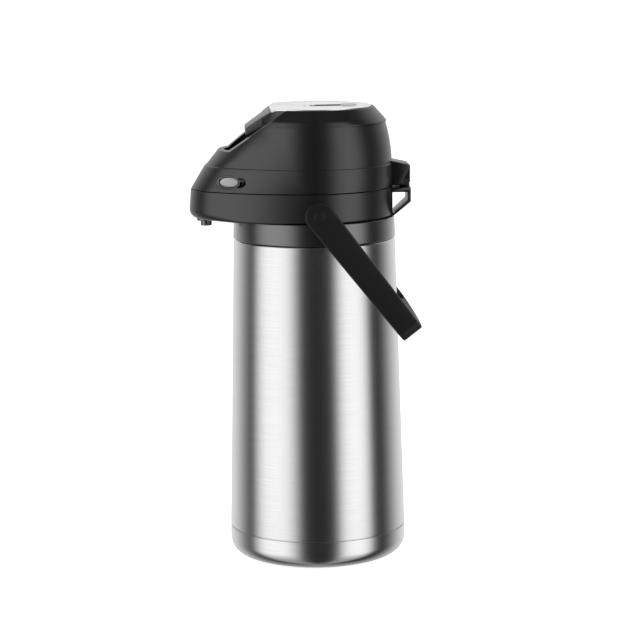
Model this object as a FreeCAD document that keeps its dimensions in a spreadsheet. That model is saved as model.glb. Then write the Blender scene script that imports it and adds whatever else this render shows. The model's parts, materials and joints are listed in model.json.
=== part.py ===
"""Three litre thermal airpot: vacuum body, teardrop head with a spout, hinged lid with a lever, and a bail.

Frame: +Z up, origin at the centre of the foot, spout towards -Y, lid hinge towards +Y. Millimetres.
"""
import FreeCAD, Part
import math
import os
import re
import Sketcher
from FreeCAD import Placement, Rotation, Vector

# ---------------------------------------------------------------- driving sizes
SIZES = {
    # steel body
    "base_radius": 78.0,
    "base_height": 27.0,
    "base_corner": 14.0,
    "foot_height": 1.5,
    "seam_gap": 0.8,
    "shell_height": 257.2,
    "shell_top_radius": 71.2,
    "steel_wall": 0.8,
    "spigot_height": 10.0,
    "spigot_clearance": 0.4,
    "shoulder_rise": 13.0,
    # flask and neck
    "flask_radius": 65.0,
    "flask_wall": 0.6,
    "flask_floor_gap": 5.2,
    "flask_shoulder": 28.0,
    "neck_radius": 36.2,
    "neck_above_floor": 2.5,
    # collar and head
    "collar_height": 19.1,
    "collar_radius": 70.8,
    "head_gap": 0.4,
    "head_height": 25.5,
    "head_radius": 69.3,
    "flank_radius": 180.0,
    "head_wall": 2.6,
    "head_floor": 3.0,
    "nose_radius": 45.0,
    "nose_reach": 108.0,
    "nose_draft": 2.1,
    "nose_edge": 2.2,
    "deck_drop": 3.0,
    "deck_thickness": 2.5,
    "deck_hole": 23.0,
    # stopper, tubes and spout
    "gasket_height": 2.5,
    "stopper_rim": 3.0,
    "stopper_clearance": 0.4,
    "stopper_depth": 24.0,
    "stopper_flange": 3.0,
    "tube_radius": 5.0,
    "tube_wall": 0.8,
    "tube_floor_gap": 5.0,
    "tube_inset": 1.5,
    "tube_foot_wall": 1.4,
    "tube_foot_slot": 3.0,
    "tube_foot_height": 12.0,
    "bush_wall": 4.0,
    "gasket_lap": 3.0,
    "nut_width": 8.0,
    "pipe_radius": 4.2,
    "pipe_wall": 1.0,
    "pipe_rise": 4.4,
    "pipe_bend": 4.0,
    "spout_reach": 95.0,
    "spout_drop": 7.3,
    "spout_radius": 4.85,
    "spout_flange": 7.8,
    # lid
    "lid_gap": 0.4,
    "lid_wall": 2.5,
    "band_height": 20.6,
    "dome_height": 36.0,
    "cap_height": 13.4,
    "cap_overhang": 1.9,
    "cap_top_radius": 53.6,
    "slope_low_y": 74.4,
    "slope_low_z": 34.2,
    "slope_angle": 36.5,
    "panel_thickness": 3.0,
    "slot_half_width": 27.0,
    "slot_reach": 78.5,
    "well_wall": 1.6,
    # lever
    "plate_radius": 51.5,
    "plate_thickness": 1.0,
    "plate_clearance": 0.8,
    "plate_overhang": 0.5,
    "plate_step": 0.2,
    "lever_depth": 6.0,
    "tongue_bend_y": 37.5,
    "tongue_reach": 60.0,
    "tongue_drop": 17.7,
    "tongue_depth": 4.7,
    "tongue_half_width": 21.0,
    "tongue_root_half_width": 25.0,
    "lever_pin_y": 42.0,
    "lever_pin_drop": 13.0,
    "lever_pin_radius": 2.0,
    "pusher_radius": 10.0,
    "post_inner": 23.6,
    "post_width": 4.4,
    "post_eye": 3.8,
    "ear_width": 6.0,
    "ear_eye": 3.6,
    "press_gap": 0.3,
    # pump
    "pump_plate_rise": 1.1,
    "pump_plate_thickness": 2.5,
    "bellows_radius": 37.5,
    "bellows_fold": 6.0,
    "bellows_wall": 1.2,
    "disc_radius": 35.0,
    "disc_thickness": 3.8,
    "spring_radius": 16.0,
    "spring_wire": 1.8,
    # lock slider
    "lock_width": 13.6,
    "lock_length": 11.0,
    "lock_slot_front": 3.4,
    "lock_slot_rear": 38.7,
    "lock_depth": 3.5,
    "lock_proud": 0.9,
    "slide_clearance": 0.3,
    # buttons
    "button_y": 75.5,
    "button_x": 41.9,
    "button_z": 9.1,
    "button_turn": 22.0,
    "button_length": 18.0,
    "button_height": 8.4,
    "button_sink": 0.9,
    "button_clearance": 1.1,
    "button_travel": 3.0,
    "button_cap": 2.6,
    "button_spring": 2.4,
    "button_guide": 2.3,
    "tang_thickness": 3.0,
    "tang_half_width": 3.0,
    "tang_drop": 11.0,
    "stem_length": 16.0,
    "stem_radius": 2.6,
    # rear hinge
    "hinge_y": 80.1,
    "hinge_z": 4.7,
    "hinge_pin_radius": 2.0,
    "knuckle_radius": 4.6,
    "knuckle_half_width": 7.0,
    "ear_half_width": 16.0,
    "ear_reach": 3.9,
    "ear_drop": 3.7,
    "bracket_reach": 84.5,
    "bracket_bar": 4.0,
    "bracket_strap": 2.4,
    "bracket_post_drop": 12.4,
    # bail
    "pivot_y": 1.0,
    "pivot_rise": 7.8,
    "pivot_radius": 4.45,
    "boss_radius": 7.6,
    "arm_inner": 74.6,
    "arm_thickness": 4.4,
    "arm_length": 130.9,
    "arm_root_width": 25.0,
    "arm_tip_width": 20.0,
    "arm_corner": 9.0,
    "bail_bulge": 6.4,
    "bail_droop": 52.5,
    "washer_thickness": 0.6,
    # fits
    "screw_radius": 1.4,
    "screw_head_radius": 2.8,
    "screw_head_height": 1.8,
    "running_fit": 0.05,
    "joint_gap": 0.4,
}

# ---------------------------------------------------------------- worked out from the driving sizes
DERIVED = {
    "shell_z": "base_height + seam_gap",
    "shell_top_z": "shell_z + shell_height",
    "neck_outer": "neck_radius + steel_wall",
    "collar_z": "shell_top_z + 0.2",
    "head_z": "collar_z + collar_height + 0.2",
    "floor_z": "head_z + head_floor",
    "head_top_z": "head_z + head_height",
    "neck_top_z": "floor_z + neck_above_floor",
    "gasket_z": "neck_top_z + gasket_height",
    "flange_z": "gasket_z + stopper_flange",
    "tube_top_z": "gasket_z - tube_inset",
    "pipe_z": "flange_z + pipe_rise",
    "deck_z": "head_top_z - deck_drop - deck_thickness",
    "deck_top_z": "head_top_z - deck_drop",
    "lid_z": "head_top_z + lid_gap",
    "band_top_z": "lid_z + band_height",
    "dome_top_z": "band_top_z + dome_height",
    "cap_top_z": "dome_top_z + cap_height",
    "plate_top_z": "cap_top_z + 0.6",
    "slope_z": "head_top_z + slope_low_z",
    "pump_z": "lid_z + pump_plate_rise",
    "pump_top_z": "pump_z + pump_plate_thickness",
    "lever_top_z": "plate_top_z - plate_thickness",
    "lever_pin_z": "plate_top_z - lever_pin_drop",
    "disc_top_z": "lever_pin_z - pusher_radius - press_gap",
    "disc_z": "disc_top_z - disc_thickness",
    "well_z": "band_top_z + 1",
    "hinge_axis_z": "head_top_z + hinge_z",
    "bracket_top_z": "head_top_z - 1",
    "pivot_z": "head_z + pivot_rise",
    "flask_z": "shell_z + spigot_height + flask_floor_gap + steel_wall",
    "flask_side_top_z": "shell_top_z - 29",
    "button_axis_z": "head_top_z + button_z",
    "arm_outer": "arm_inner + arm_thickness",
    "boss_face": "arm_inner - 1",
    "pivot_inner": "head_radius - 6",
    "cap_face": "arm_outer + 0.3",
    "spout_plug": "spout_flange - 1.3",
    "plate_hole": "plate_radius + plate_clearance",
    "post_outer": "post_inner + post_width",
    "cap_back": "button_sink + button_cap",
    "guide_face": "cap_back + button_travel + button_spring + 0.3",
}

doc = FreeCAD.newDocument("airpot")
sheet = doc.addObject("Spreadsheet::Sheet", "Sizes")
for row, (alias, number) in enumerate(SIZES.items(), start=1):
    sheet.set("A%d" % row, alias)
    sheet.set("B%d" % row, str(number))
    sheet.setAlias("B%d" % row, alias)
doc.recompute()


def link(text):
    """An expression on the sheet's cells, with the derived names written out."""
    def swap(match):
        word = match.group()
        if word in DERIVED:
            return "(" + link(DERIVED[word]) + ")"
        if word in SIZES:
            return "Sizes." + word
        return word
    return re.sub(r"[a-z][a-z_0-9]*", swap, str(text))


def number(text):
    """The present value of such an expression, as a plain float."""
    result = sheet.evalExpression(link(text))
    return float(getattr(result, "Value", result))


# ---------------------------------------------------------------- building blocks
def bind(thing, field, text):
    thing.setExpression(field, link(text))


def origin_plane(body, role):
    return next(plane for plane in body.Origin.OriginFeatures if plane.Role == role)


def new_body(label):
    body = doc.addObject("PartDesign::Body", label)
    body.Label = label
    return body


def new_sketch(body, name, role, offset="0"):
    sketch = body.newObject("Sketcher::SketchObject", name)
    sketch.AttachmentSupport = [(origin_plane(body, role), "")]
    sketch.MapMode = "FlatFace"
    bind(sketch, ".AttachmentOffset.Base.z", offset)
    return sketch


def fix_point(sketch, line, end, place):
    """Hold one end of an edge at a place given by two expressions."""
    for kind, text in zip(("DistanceX", "DistanceY"), place):
        index = sketch.addConstraint(Sketcher.Constraint(kind, -1, 1, line, end, number(text)))
        bind(sketch, "Constraints[%d]" % index, text)


def polygon(sketch, points):
    """A closed outline through points given as pairs of expressions."""
    places = [Vector(number(x), number(y), 0) for x, y in points]
    first = sketch.GeometryCount
    count = len(points)
    for i in range(count):
        sketch.addGeometry(Part.LineSegment(places[i], places[(i + 1) % count]), False)
    for i in range(count):
        following = first + (i + 1) % count
        sketch.addConstraint(Sketcher.Constraint("Coincident", first + i, 2, following, 1))
    for i, point in enumerate(points):
        fix_point(sketch, first + i, 1, point)


def circle(sketch, x, y, radius):
    centre = Vector(number(x), number(y), 0)
    ring = sketch.addGeometry(Part.Circle(centre, Vector(0, 0, 1), number(radius)), False)
    fix_point(sketch, ring, 3, (x, y))
    index = sketch.addConstraint(Sketcher.Constraint("Radius", ring, number(radius)))
    bind(sketch, "Constraints[%d]" % index, radius)


def revolved(label, outline):
    """A body of revolution about Z from an outline of (radius, height) pairs."""
    body = new_body(label)
    sketch = new_sketch(body, label + "_profile", "XZ_Plane")
    polygon(sketch, outline)
    turn = body.newObject("PartDesign::Revolution", label + "_turn")
    turn.Profile = sketch
    turn.ReferenceAxis = (sketch, ["V_Axis"])
    turn.Angle = 360
    doc.recompute()
    return body


def ring(label, inner, outer, low, high):
    return revolved(label, [(inner, low), (outer, low), (outer, high), (inner, high)])


def rounded(body, radius, chosen):
    """Fillet the edges of the body's tip for which chosen(edge) is true."""
    tip = body.Tip
    names = ["Edge%d" % (i + 1) for i, edge in enumerate(tip.Shape.Edges) if chosen(edge)]
    fillet = body.newObject("PartDesign::Fillet", body.Label + "_round")
    fillet.Base = (tip, names)
    bind(fillet, "Radius", radius)
    doc.recompute()
    return body


def circle_at(radius, height):
    """Picks the circular edges about Z with this radius and height."""
    def chosen(edge):
        if not isinstance(edge.Curve, Part.Circle):
            return False
        same_radius = abs(edge.Curve.Radius - number(radius)) < 0.01
        return same_radius and abs(edge.Curve.Center.z - number(height)) < 0.01
    return chosen


def pad(body, sketch, length, symmetric=False):
    feature = body.newObject("PartDesign::Pad", sketch.Label + "_pad")
    feature.Profile = sketch
    if symmetric:
        feature.SideType = "Symmetric"
    bind(feature, "Length", length)
    doc.recompute()
    return feature


def pocket(body, sketch, length, symmetric=False):
    feature = body.newObject("PartDesign::Pocket", sketch.Label + "_pocket")
    feature.Profile = sketch
    if symmetric:
        feature.SideType = "Symmetric"
    bind(feature, "Length", length)
    doc.recompute()
    return feature


def side_prism(label, outline, half_width):
    """A side view outline of (y, z) pairs, made as wide as half_width to each side of the middle."""
    body = new_body(label)
    sketch = new_sketch(body, label + "_side", "YZ_Plane")
    polygon(sketch, outline)
    pad(body, sketch, "2 * (%s)" % half_width, symmetric=True)
    return body


def plan_prism(label, outline, low, high):
    """A plan outline of (x, y) pairs between two heights."""
    body = new_body(label)
    sketch = new_sketch(body, label + "_plan", "XY_Plane", low)
    polygon(sketch, outline)
    pad(body, sketch, "(%s) - (%s)" % (high, low))
    return body


def place(thing, x="0", y="0", z="0"):
    for axis, text in zip("xyz", (x, y, z)):
        bind(thing, ".Placement.Base." + axis, text)


def block(label, low, high):
    """A box between two corners, each given by three expressions."""
    box = doc.addObject("Part::Box", label)
    place(box, *low)
    for field, a, b in zip(("Length", "Width", "Height"), low, high):
        bind(box, field, "(%s) - (%s)" % (b, a))
    return box


def rod(label, radius, start, length, along="Z"):
    """A cylinder from a start point along +X or +Z."""
    cylinder = doc.addObject("Part::Cylinder", label)
    if along == "X":
        cylinder.Placement = Placement(Vector(), Rotation(Vector(0, 1, 0), 90))
    place(cylinder, *start)
    bind(cylinder, "Radius", radius)
    bind(cylinder, "Height", length)
    return cylinder


def fuse(label, *shapes):
    joined = doc.addObject("Part::MultiFuse", label)
    joined.Shapes = list(shapes)
    joined.Label = label
    return joined


def common(label, *shapes):
    shared = doc.addObject("Part::MultiCommon", label)
    shared.Shapes = list(shapes)
    shared.Label = label
    return shared


def cut(label, base, *tools):
    result = doc.addObject("Part::Cut", label)
    result.Base = base
    result.Tool = tools[0] if len(tools) == 1 else fuse(label + "_tools", *tools)
    result.Label = label
    return result


def pivot_rod(label, radius, near, far, sign):
    """A cylinder about the bail's pivot line, between two distances out on one side."""
    start = near if sign > 0 else "-(%s)" % far
    return rod(label, radius, (start, "pivot_y", "pivot_z"), "(%s) - (%s)" % (far, near), "X")


def pair(label, make):
    """Two mirrored pieces in one node: make(name, sign) builds the one on that side."""
    return fuse(label, make(label + "_right", 1), make(label + "_left", -1))


# ---------------------------------------------------------------- the head's teardrop outline
def teardrop(body, name, height, rear, nose, reach, inset="0"):
    """A plan outline: a round rear, a round nose and a bowed flank tangent to both on each side."""
    sketch = new_sketch(body, name, "XY_Plane", height)
    rear_text = "(%s) - (%s)" % (rear, inset)
    nose_text = "(%s) - (%s)" % (nose, inset)
    flank_text = "flank_radius - (%s)" % inset
    nose_y_text = "(%s) - (%s)" % (nose, reach)
    rear_r, nose_r, flank_r = number(rear_text), number(nose_text), number(flank_text)
    nose_y = number(nose_y_text)
    # the flank's centre lies flank_r - rear_r from the rear's centre, flank_r - nose_r from the nose's
    to_rear, to_nose = flank_r - rear_r, flank_r - nose_r
    flank_y = (nose_y ** 2 + to_rear ** 2 - to_nose ** 2) / (2 * nose_y)
    flank_x = -math.sqrt(to_rear ** 2 - flank_y ** 2)
    rear_turn = math.atan2(-flank_y, -flank_x)
    nose_turn = math.atan2(nose_y - flank_y, -flank_x)
    up = Vector(0, 0, 1)

    def arc(x, y, radius, start, stop):
        shape = Part.ArcOfCircle(Part.Circle(Vector(x, y, 0), up, radius), start, stop)
        return sketch.addGeometry(shape, False)

    back_right = arc(0, 0, rear_r, rear_turn, math.pi / 2)
    back_left = arc(0, 0, rear_r, math.pi / 2, math.pi - rear_turn)
    left = arc(-flank_x, flank_y, flank_r, math.pi - rear_turn, math.pi - nose_turn)
    front_left = arc(0, nose_y, nose_r, math.pi - nose_turn, 1.5 * math.pi)
    front_right = arc(0, nose_y, nose_r, 1.5 * math.pi, 2 * math.pi + nose_turn)
    right = arc(flank_x, flank_y, flank_r, nose_turn, rear_turn)
    joints = [(back_left, left), (left, front_left), (front_right, right), (right, back_right)]
    for one, two in joints:
        sketch.addConstraint(Sketcher.Constraint("Tangent", one, 2, two, 1))
    for one, two in ((back_right, back_left), (front_left, front_right)):
        sketch.addConstraint(Sketcher.Constraint("Coincident", one, 2, two, 1))
        sketch.addConstraint(Sketcher.Constraint("Coincident", one, 3, two, 3))
        sketch.addConstraint(Sketcher.Constraint("PointOnObject", one, 2, -2))
    sketch.addConstraint(Sketcher.Constraint("Coincident", back_right, 3, -1, 1))
    sketch.addConstraint(Sketcher.Constraint("PointOnObject", front_left, 3, -2))
    held = [(back_right, rear_text, rear_r), (front_left, nose_text, nose_r)]
    held += [(left, flank_text, flank_r), (right, flank_text, flank_r)]
    for edge, text, value in held:
        index = sketch.addConstraint(Sketcher.Constraint("Radius", edge, value))
        bind(sketch, "Constraints[%d]" % index, text)
    index = sketch.addConstraint(Sketcher.Constraint("DistanceY", -1, 1, front_left, 3, nose_y))
    bind(sketch, "Constraints[%d]" % index, nose_y_text)
    return sketch


def teardrop_loft(label, sections, inset="0"):
    """A solid through teardrops given as (height, rear radius, nose radius, nose reach)."""
    body = new_body(label)
    sketches = []
    for i, (height, rear, nose, reach) in enumerate(sections):
        sketches.append(teardrop(body, "%s_%d" % (label, i), height, rear, nose, reach, inset))
    loft = body.newObject("PartDesign::AdditiveLoft", label + "_loft")
    loft.Profile = sketches[0]
    loft.Sections = sketches[1:]
    loft.Ruled = len(sections) == 2
    doc.recompute()
    return body


# (height, rear radius, nose radius, nose reach) of the teardrops that each loft passes through
HEAD = [
    ("head_z", "head_radius", "nose_radius", "nose_reach + nose_draft"),
    ("head_top_z", "head_radius", "nose_radius", "nose_reach"),
]
BAND = [
    ("lid_z", "head_radius", "nose_radius", "nose_reach - 0.4"),
    ("lid_z + 0.5 * band_height", "head_radius + 0.7", "nose_radius + 1", "nose_reach - 6.6"),
    ("band_top_z", "head_radius + 0.2", "nose_radius + 3", "nose_reach - 13"),
]
DOME = [
    ("band_top_z", "head_radius", "nose_radius + 1.5", "nose_reach - 13.5"),
    ("band_top_z + 0.37 * dome_height", "head_radius - 1.1", "nose_radius + 10", "nose_reach - 24.5"),
    ("dome_top_z", "head_radius - 5.9", "nose_radius + 9", "nose_reach - 42"),
]
CAP = [
    ("dome_top_z", "head_radius - 5.9 + cap_overhang", "nose_radius + 10", "nose_reach - 41"),
    ("cap_top_z", "cap_top_radius", "nose_radius + 3", "nose_reach - 52"),
]
# places of the small screws in plan
DECK_SCREWS = [("54", "12"), ("-54", "12"), ("30", "-80"), ("-30", "-80")]
LID_SCREWS = [("48", "30"), ("-48", "30")]


# ---------------------------------------------------------------- steel body
def make_shell():
    bottom_inner = "base_radius - steel_wall"
    return revolved("outer_shell", [
        ("base_radius", "shell_z"),
        ("shell_top_radius", "shell_top_z"),
        ("neck_outer", "shell_top_z + shoulder_rise"),
        ("neck_outer", "neck_top_z"),
        ("neck_radius", "neck_top_z"),
        ("neck_radius", "shell_top_z + shoulder_rise - 1.2 * steel_wall"),
        ("shell_top_radius - steel_wall", "shell_top_z - steel_wall"),
        (bottom_inner, "shell_z"),
    ])


def make_base_cup():
    lip = "base_radius - steel_wall - spigot_clearance"
    cup = revolved("base_cup", [
        ("0", "foot_height"),
        ("base_radius", "foot_height"),
        ("base_radius", "base_height"),
        (lip, "base_height"),
        (lip, "base_height + spigot_height"),
        (lip + " - steel_wall", "base_height + spigot_height"),
        (lip + " - steel_wall", "base_height - steel_wall"),
        ("base_radius - steel_wall", "base_height - steel_wall"),
        ("base_radius - steel_wall", "foot_height + steel_wall"),
        ("0", "foot_height + steel_wall"),
    ])
    rounded(cup, "base_corner", circle_at("base_radius", "foot_height"))
    inner = circle_at("base_radius - steel_wall", "foot_height + steel_wall")
    return rounded(cup, "base_corner - steel_wall", inner)


def make_foot_pad():
    outer = "base_radius - base_corner - 1"
    return revolved("foot_pad", [("0", "0"), (outer, "0"), (outer, "foot_height"), ("0", "foot_height")])


def make_vacuum_bottom():
    """The dish that closes the double wall, with its rim up inside the outer shell."""
    low = "shell_z + spigot_height"
    rim = "base_radius - 2 * steel_wall - spigot_clearance"
    return revolved("vacuum_bottom", [
        ("0", low),
        (rim, low),
        (rim, low + " + 8"),
        (rim + " - steel_wall", low + " + 8"),
        (rim + " - steel_wall", low + " + steel_wall"),
        ("0", low + " + steel_wall"),
    ])


def make_flask():
    inner = "flask_radius - flask_wall"
    return revolved("inner_flask", [
        ("0", "flask_z"),
        ("flask_radius", "flask_z"),
        ("flask_radius", "flask_side_top_z"),
        ("neck_radius", "flask_side_top_z + flask_shoulder"),
        ("neck_radius", "neck_top_z"),
        ("neck_radius - flask_wall", "neck_top_z"),
        ("neck_radius - flask_wall", "flask_side_top_z + flask_shoulder - 0.4 * flask_wall"),
        (inner, "flask_side_top_z - 0.4 * flask_wall"),
        (inner, "flask_z + flask_wall"),
        ("0", "flask_z + flask_wall"),
    ])


# ---------------------------------------------------------------- collar and head
def make_collar():
    outer = "shell_top_radius + 0.4"
    inner = "shell_top_radius - 3.2"
    top = "collar_z + collar_height"
    return revolved("collar", [
        (outer, "collar_z"),
        ("collar_radius", top),
        ("neck_outer + 2", top),
        ("neck_outer + 2", top + " - 3"),
        (inner, top + " - 3"),
        (inner, "collar_z + 1.8"),
    ])


def make_head_base():
    upper = teardrop_loft("head_form", [("head_z + nose_edge",) + HEAD[0][1:], HEAD[1]])
    lower = teardrop_loft("head_edge", [
        ("head_z", "head_radius - nose_edge", "nose_radius - nose_edge",
         "nose_reach + nose_draft - nose_edge"),
        ("head_z + nose_edge",) + HEAD[0][1:],
    ])
    outer = fuse("head_outside", upper, lower)
    hollow_sections = [("floor_z",) + HEAD[0][1:], ("head_top_z + 1",) + HEAD[1][1:]]
    hollow = teardrop_loft("head_hollow", hollow_sections, "head_wall")
    drill = ("head_z - 1", "head_floor + 2")
    neck_hole = rod("head_neck_hole", "neck_outer + 1.6", ("0", "0", drill[0]), drill[1])
    spout_hole = rod("head_spout_hole", "spout_plug", ("0", "-spout_reach", drill[0]), drill[1])
    shell = cut("head_shell", outer, hollow, neck_hole, spout_hole)

    def boss(name, sign):
        return pivot_rod(name, "boss_radius", "head_radius - 4", "boss_face", sign)

    def bore(name, sign):
        return pivot_rod(name, "pivot_radius", "pivot_inner", "arm_outer", sign)

    body = fuse("head_with_bosses", shell, pair("pivot_bosses", boss))
    return cut("head_base", body, pair("pivot_bores", bore))


def make_neck_nut():
    top = "neck_top_z - joint_gap"
    return ring("neck_nut", "neck_outer", "neck_outer + nut_width", "floor_z", top)


def make_neck_gasket():
    return ring("neck_gasket", "neck_radius - gasket_lap", "neck_outer + 1.2", "neck_top_z", "gasket_z")


def make_stopper():
    """A cup-shaped plug with a flange over the neck's rim and a hub for the tube and the pipe."""
    bore = "tube_radius"
    bush = "pipe_radius + bush_wall"
    hub = "tube_radius + bush_wall"
    low = "gasket_z - stopper_depth"
    plug_radius = "neck_radius - gasket_lap - stopper_clearance"
    return revolved("stopper", [
        (bore, low),
        (hub, low),
        (hub, "gasket_z - stopper_rim"),
        (plug_radius + " - stopper_rim", "gasket_z - stopper_rim"),
        (plug_radius + " - stopper_rim", low),
        (plug_radius, low),
        (plug_radius, "gasket_z"),
        ("neck_outer + stopper_rim", "gasket_z"),
        ("neck_outer + stopper_rim", "flange_z"),
        (bush, "flange_z"),
        (bush, "tube_top_z"),
        (bore, "tube_top_z"),
    ])


def make_outlet_bush():
    return ring("outlet_bush", "pipe_radius", "pipe_radius + bush_wall", "tube_top_z", "flange_z")


def make_siphon_tube():
    low = "flask_z + flask_wall + tube_floor_gap"
    return ring("siphon_tube", "tube_radius - tube_wall", "tube_radius", low, "tube_top_z")


def make_tube_foot():
    """Slotted strainer pushed onto the tube's lower end."""
    low = "flask_z + flask_wall + tube_floor_gap - 3"
    outer = "tube_radius + tube_foot_wall"
    half_slot, slot_top = "tube_foot_slot / 2", low + " + tube_foot_slot"
    sleeve = ring("tube_foot_sleeve", "tube_radius", outer, low, low + " + tube_foot_height")
    slot_one = block("tube_foot_slot_x", ("-10", "-" + half_slot, low + " - 1"), ("10", half_slot, slot_top))
    slot_two = block("tube_slot_y", ("-" + half_slot, "-10", low + " - 1"), (half_slot, "10", slot_top))
    return cut("tube_foot", sleeve, slot_one, slot_two)


def make_spout_pipe():
    """From the stopper up, forward under the deck, and down into the nozzle."""
    body = new_body("spout_pipe")
    path = new_sketch(body, "pipe_path", "YZ_Plane")
    start, top, end = number("tube_top_z"), number("pipe_z"), number("floor_z")
    reach, radius = number("spout_reach"), number("pipe_bend")
    points = {
        "rise": (Vector(0, start, 0), Vector(0, top - radius, 0)),
        "run": (Vector(-radius, top, 0), Vector(-reach + radius, top, 0)),
        "drop": (Vector(-reach, top - radius, 0), Vector(-reach, end, 0)),
    }
    up = Vector(0, 0, 1)
    rise = path.addGeometry(Part.LineSegment(*points["rise"]), False)
    elbow_circle = Part.Circle(Vector(-radius, top - radius, 0), up, radius)
    elbow = path.addGeometry(Part.ArcOfCircle(elbow_circle, 0, math.pi / 2), False)
    run = path.addGeometry(Part.LineSegment(*points["run"]), False)
    drop_circle = Part.Circle(Vector(-reach + radius, top - radius, 0), up, radius)
    turn = path.addGeometry(Part.ArcOfCircle(drop_circle, math.pi / 2, math.pi), False)
    drop = path.addGeometry(Part.LineSegment(*points["drop"]), False)
    for one, two in ((rise, elbow), (elbow, run), (run, turn), (turn, drop)):
        path.addConstraint(Sketcher.Constraint("Tangent", one, 2, two, 1))
    fix_point(path, rise, 1, ("0", "tube_top_z"))
    fix_point(path, drop, 2, ("-spout_reach", "floor_z"))
    path.addConstraint(Sketcher.Constraint("Vertical", rise))
    path.addConstraint(Sketcher.Constraint("Horizontal", run))
    path.addConstraint(Sketcher.Constraint("Vertical", drop))
    index = path.addConstraint(Sketcher.Constraint("DistanceY", -1, 1, run, 1, top))
    bind(path, "Constraints[%d]" % index, "pipe_z")
    for bend_edge in (elbow, turn):
        index = path.addConstraint(Sketcher.Constraint("Radius", bend_edge, radius))
        bind(path, "Constraints[%d]" % index, "pipe_bend")
    for name, size, kind in (("pipe_outside", "pipe_radius", "AdditivePipe"),
                             ("pipe_bore", "pipe_radius - pipe_wall", "SubtractivePipe")):
        section = new_sketch(body, name, "XY_Plane", "tube_top_z")
        circle(section, "0", "0", size)
        sweep = body.newObject("PartDesign::" + kind, name + "_sweep")
        sweep.Profile = section
        sweep.Spine = path
        doc.recompute()
    return body


def make_nozzle():
    low = "head_z - spout_drop"
    body = revolved("nozzle", [
        ("pipe_radius - pipe_wall", low),
        ("spout_radius", low),
        ("spout_radius", "head_z - 2.9"),
        ("spout_flange", "head_z - 2.9"),
        ("spout_flange", "head_z"),
        ("spout_plug", "head_z"),
        ("spout_plug", "floor_z + 3"),
        ("pipe_radius", "floor_z + 3"),
        ("pipe_radius", "floor_z"),
        ("pipe_radius - pipe_wall", "floor_z"),
    ])
    place(body, "0", "-spout_reach", "0")
    return body


def make_nozzle_seal():
    seal = ring("nozzle_seal", "spout_plug", "spout_flange + 1.5", "floor_z", "floor_z + 1.6")
    place(seal, "0", "-spout_reach", "0")
    return seal


def make_deck():
    """The inner deck that covers the spout pipe, seen when the lid is up."""
    sections = [("deck_z",) + HEAD[1][1:], ("deck_top_z",) + HEAD[1][1:]]
    plate = teardrop_loft("deck_plate", sections, "head_wall + 0.2")
    holes = [rod("deck_centre_hole", "deck_hole", ("0", "0", "deck_z - 1"), "deck_thickness + 2")]
    for i, (x, y) in enumerate(DECK_SCREWS):
        start = (x, y, "deck_z - 1")
        holes.append(rod("deck_screw_hole_%d" % i, "screw_radius", start, "deck_thickness + 2"))
    return cut("head_deck", plate, *holes)


# ---------------------------------------------------------------- rear hinge
def make_bracket():
    """Loop bracket on the rear of the head: a bar, a post and a slanting strap round an open window."""
    bar_low = "bracket_top_z - bracket_bar"
    front = "head_radius - 3"
    post = "bracket_reach - bracket_strap"
    body = side_prism("bracket_loop", [
        (front, "bracket_top_z"),
        ("bracket_reach", "bracket_top_z"),
        ("bracket_reach", "bracket_top_z - bracket_post_drop"),
        (front, "bracket_top_z - bracket_post_drop - 14.6"),
    ], "ear_half_width")
    window = new_sketch(body, "bracket_window", "YZ_Plane")
    polygon(window, [
        ("head_radius - 1", bar_low),
        (post, bar_low),
        (post, "bracket_top_z - bracket_post_drop + 0.9"),
        ("head_radius + 1.5", "bracket_top_z - bracket_post_drop - 9.6"),
        ("head_radius - 1", "bracket_top_z - bracket_post_drop - 9.6"),
    ])
    pocket(body, window, "3 * ear_half_width", symmetric=True)
    neck = block("knuckle_neck", ("-knuckle_half_width", "hinge_y - knuckle_radius", "bracket_top_z - 1"),
                 ("knuckle_half_width", "bracket_reach - 0.3", "hinge_axis_z"))
    knuckle = rod("knuckle", "knuckle_radius", ("-knuckle_half_width", "hinge_y", "hinge_axis_z"),
                  "2 * knuckle_half_width", "X")
    bore_start = ("-20", "hinge_y", "hinge_axis_z")
    bore = rod("knuckle_bore", "hinge_pin_radius + running_fit", bore_start, "40", "X")
    wall = rod("bracket_seat", "head_radius", ("0", "0", "head_z - 10"), "head_height + 9.5")
    ledge = rod("bracket_ledge", "shell_top_radius + 0.6", ("0", "0", "collar_z"), "collar_height + 0.2")
    return cut("hinge_bracket", fuse("bracket_blank", body, neck, knuckle), bore, wall, ledge)


def make_hinge_pin():
    return rod("hinge_pin", "hinge_pin_radius", ("-ear_half_width - 0.3", "hinge_y", "hinge_axis_z"),
               "2 * ear_half_width + 0.6", "X")


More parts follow.
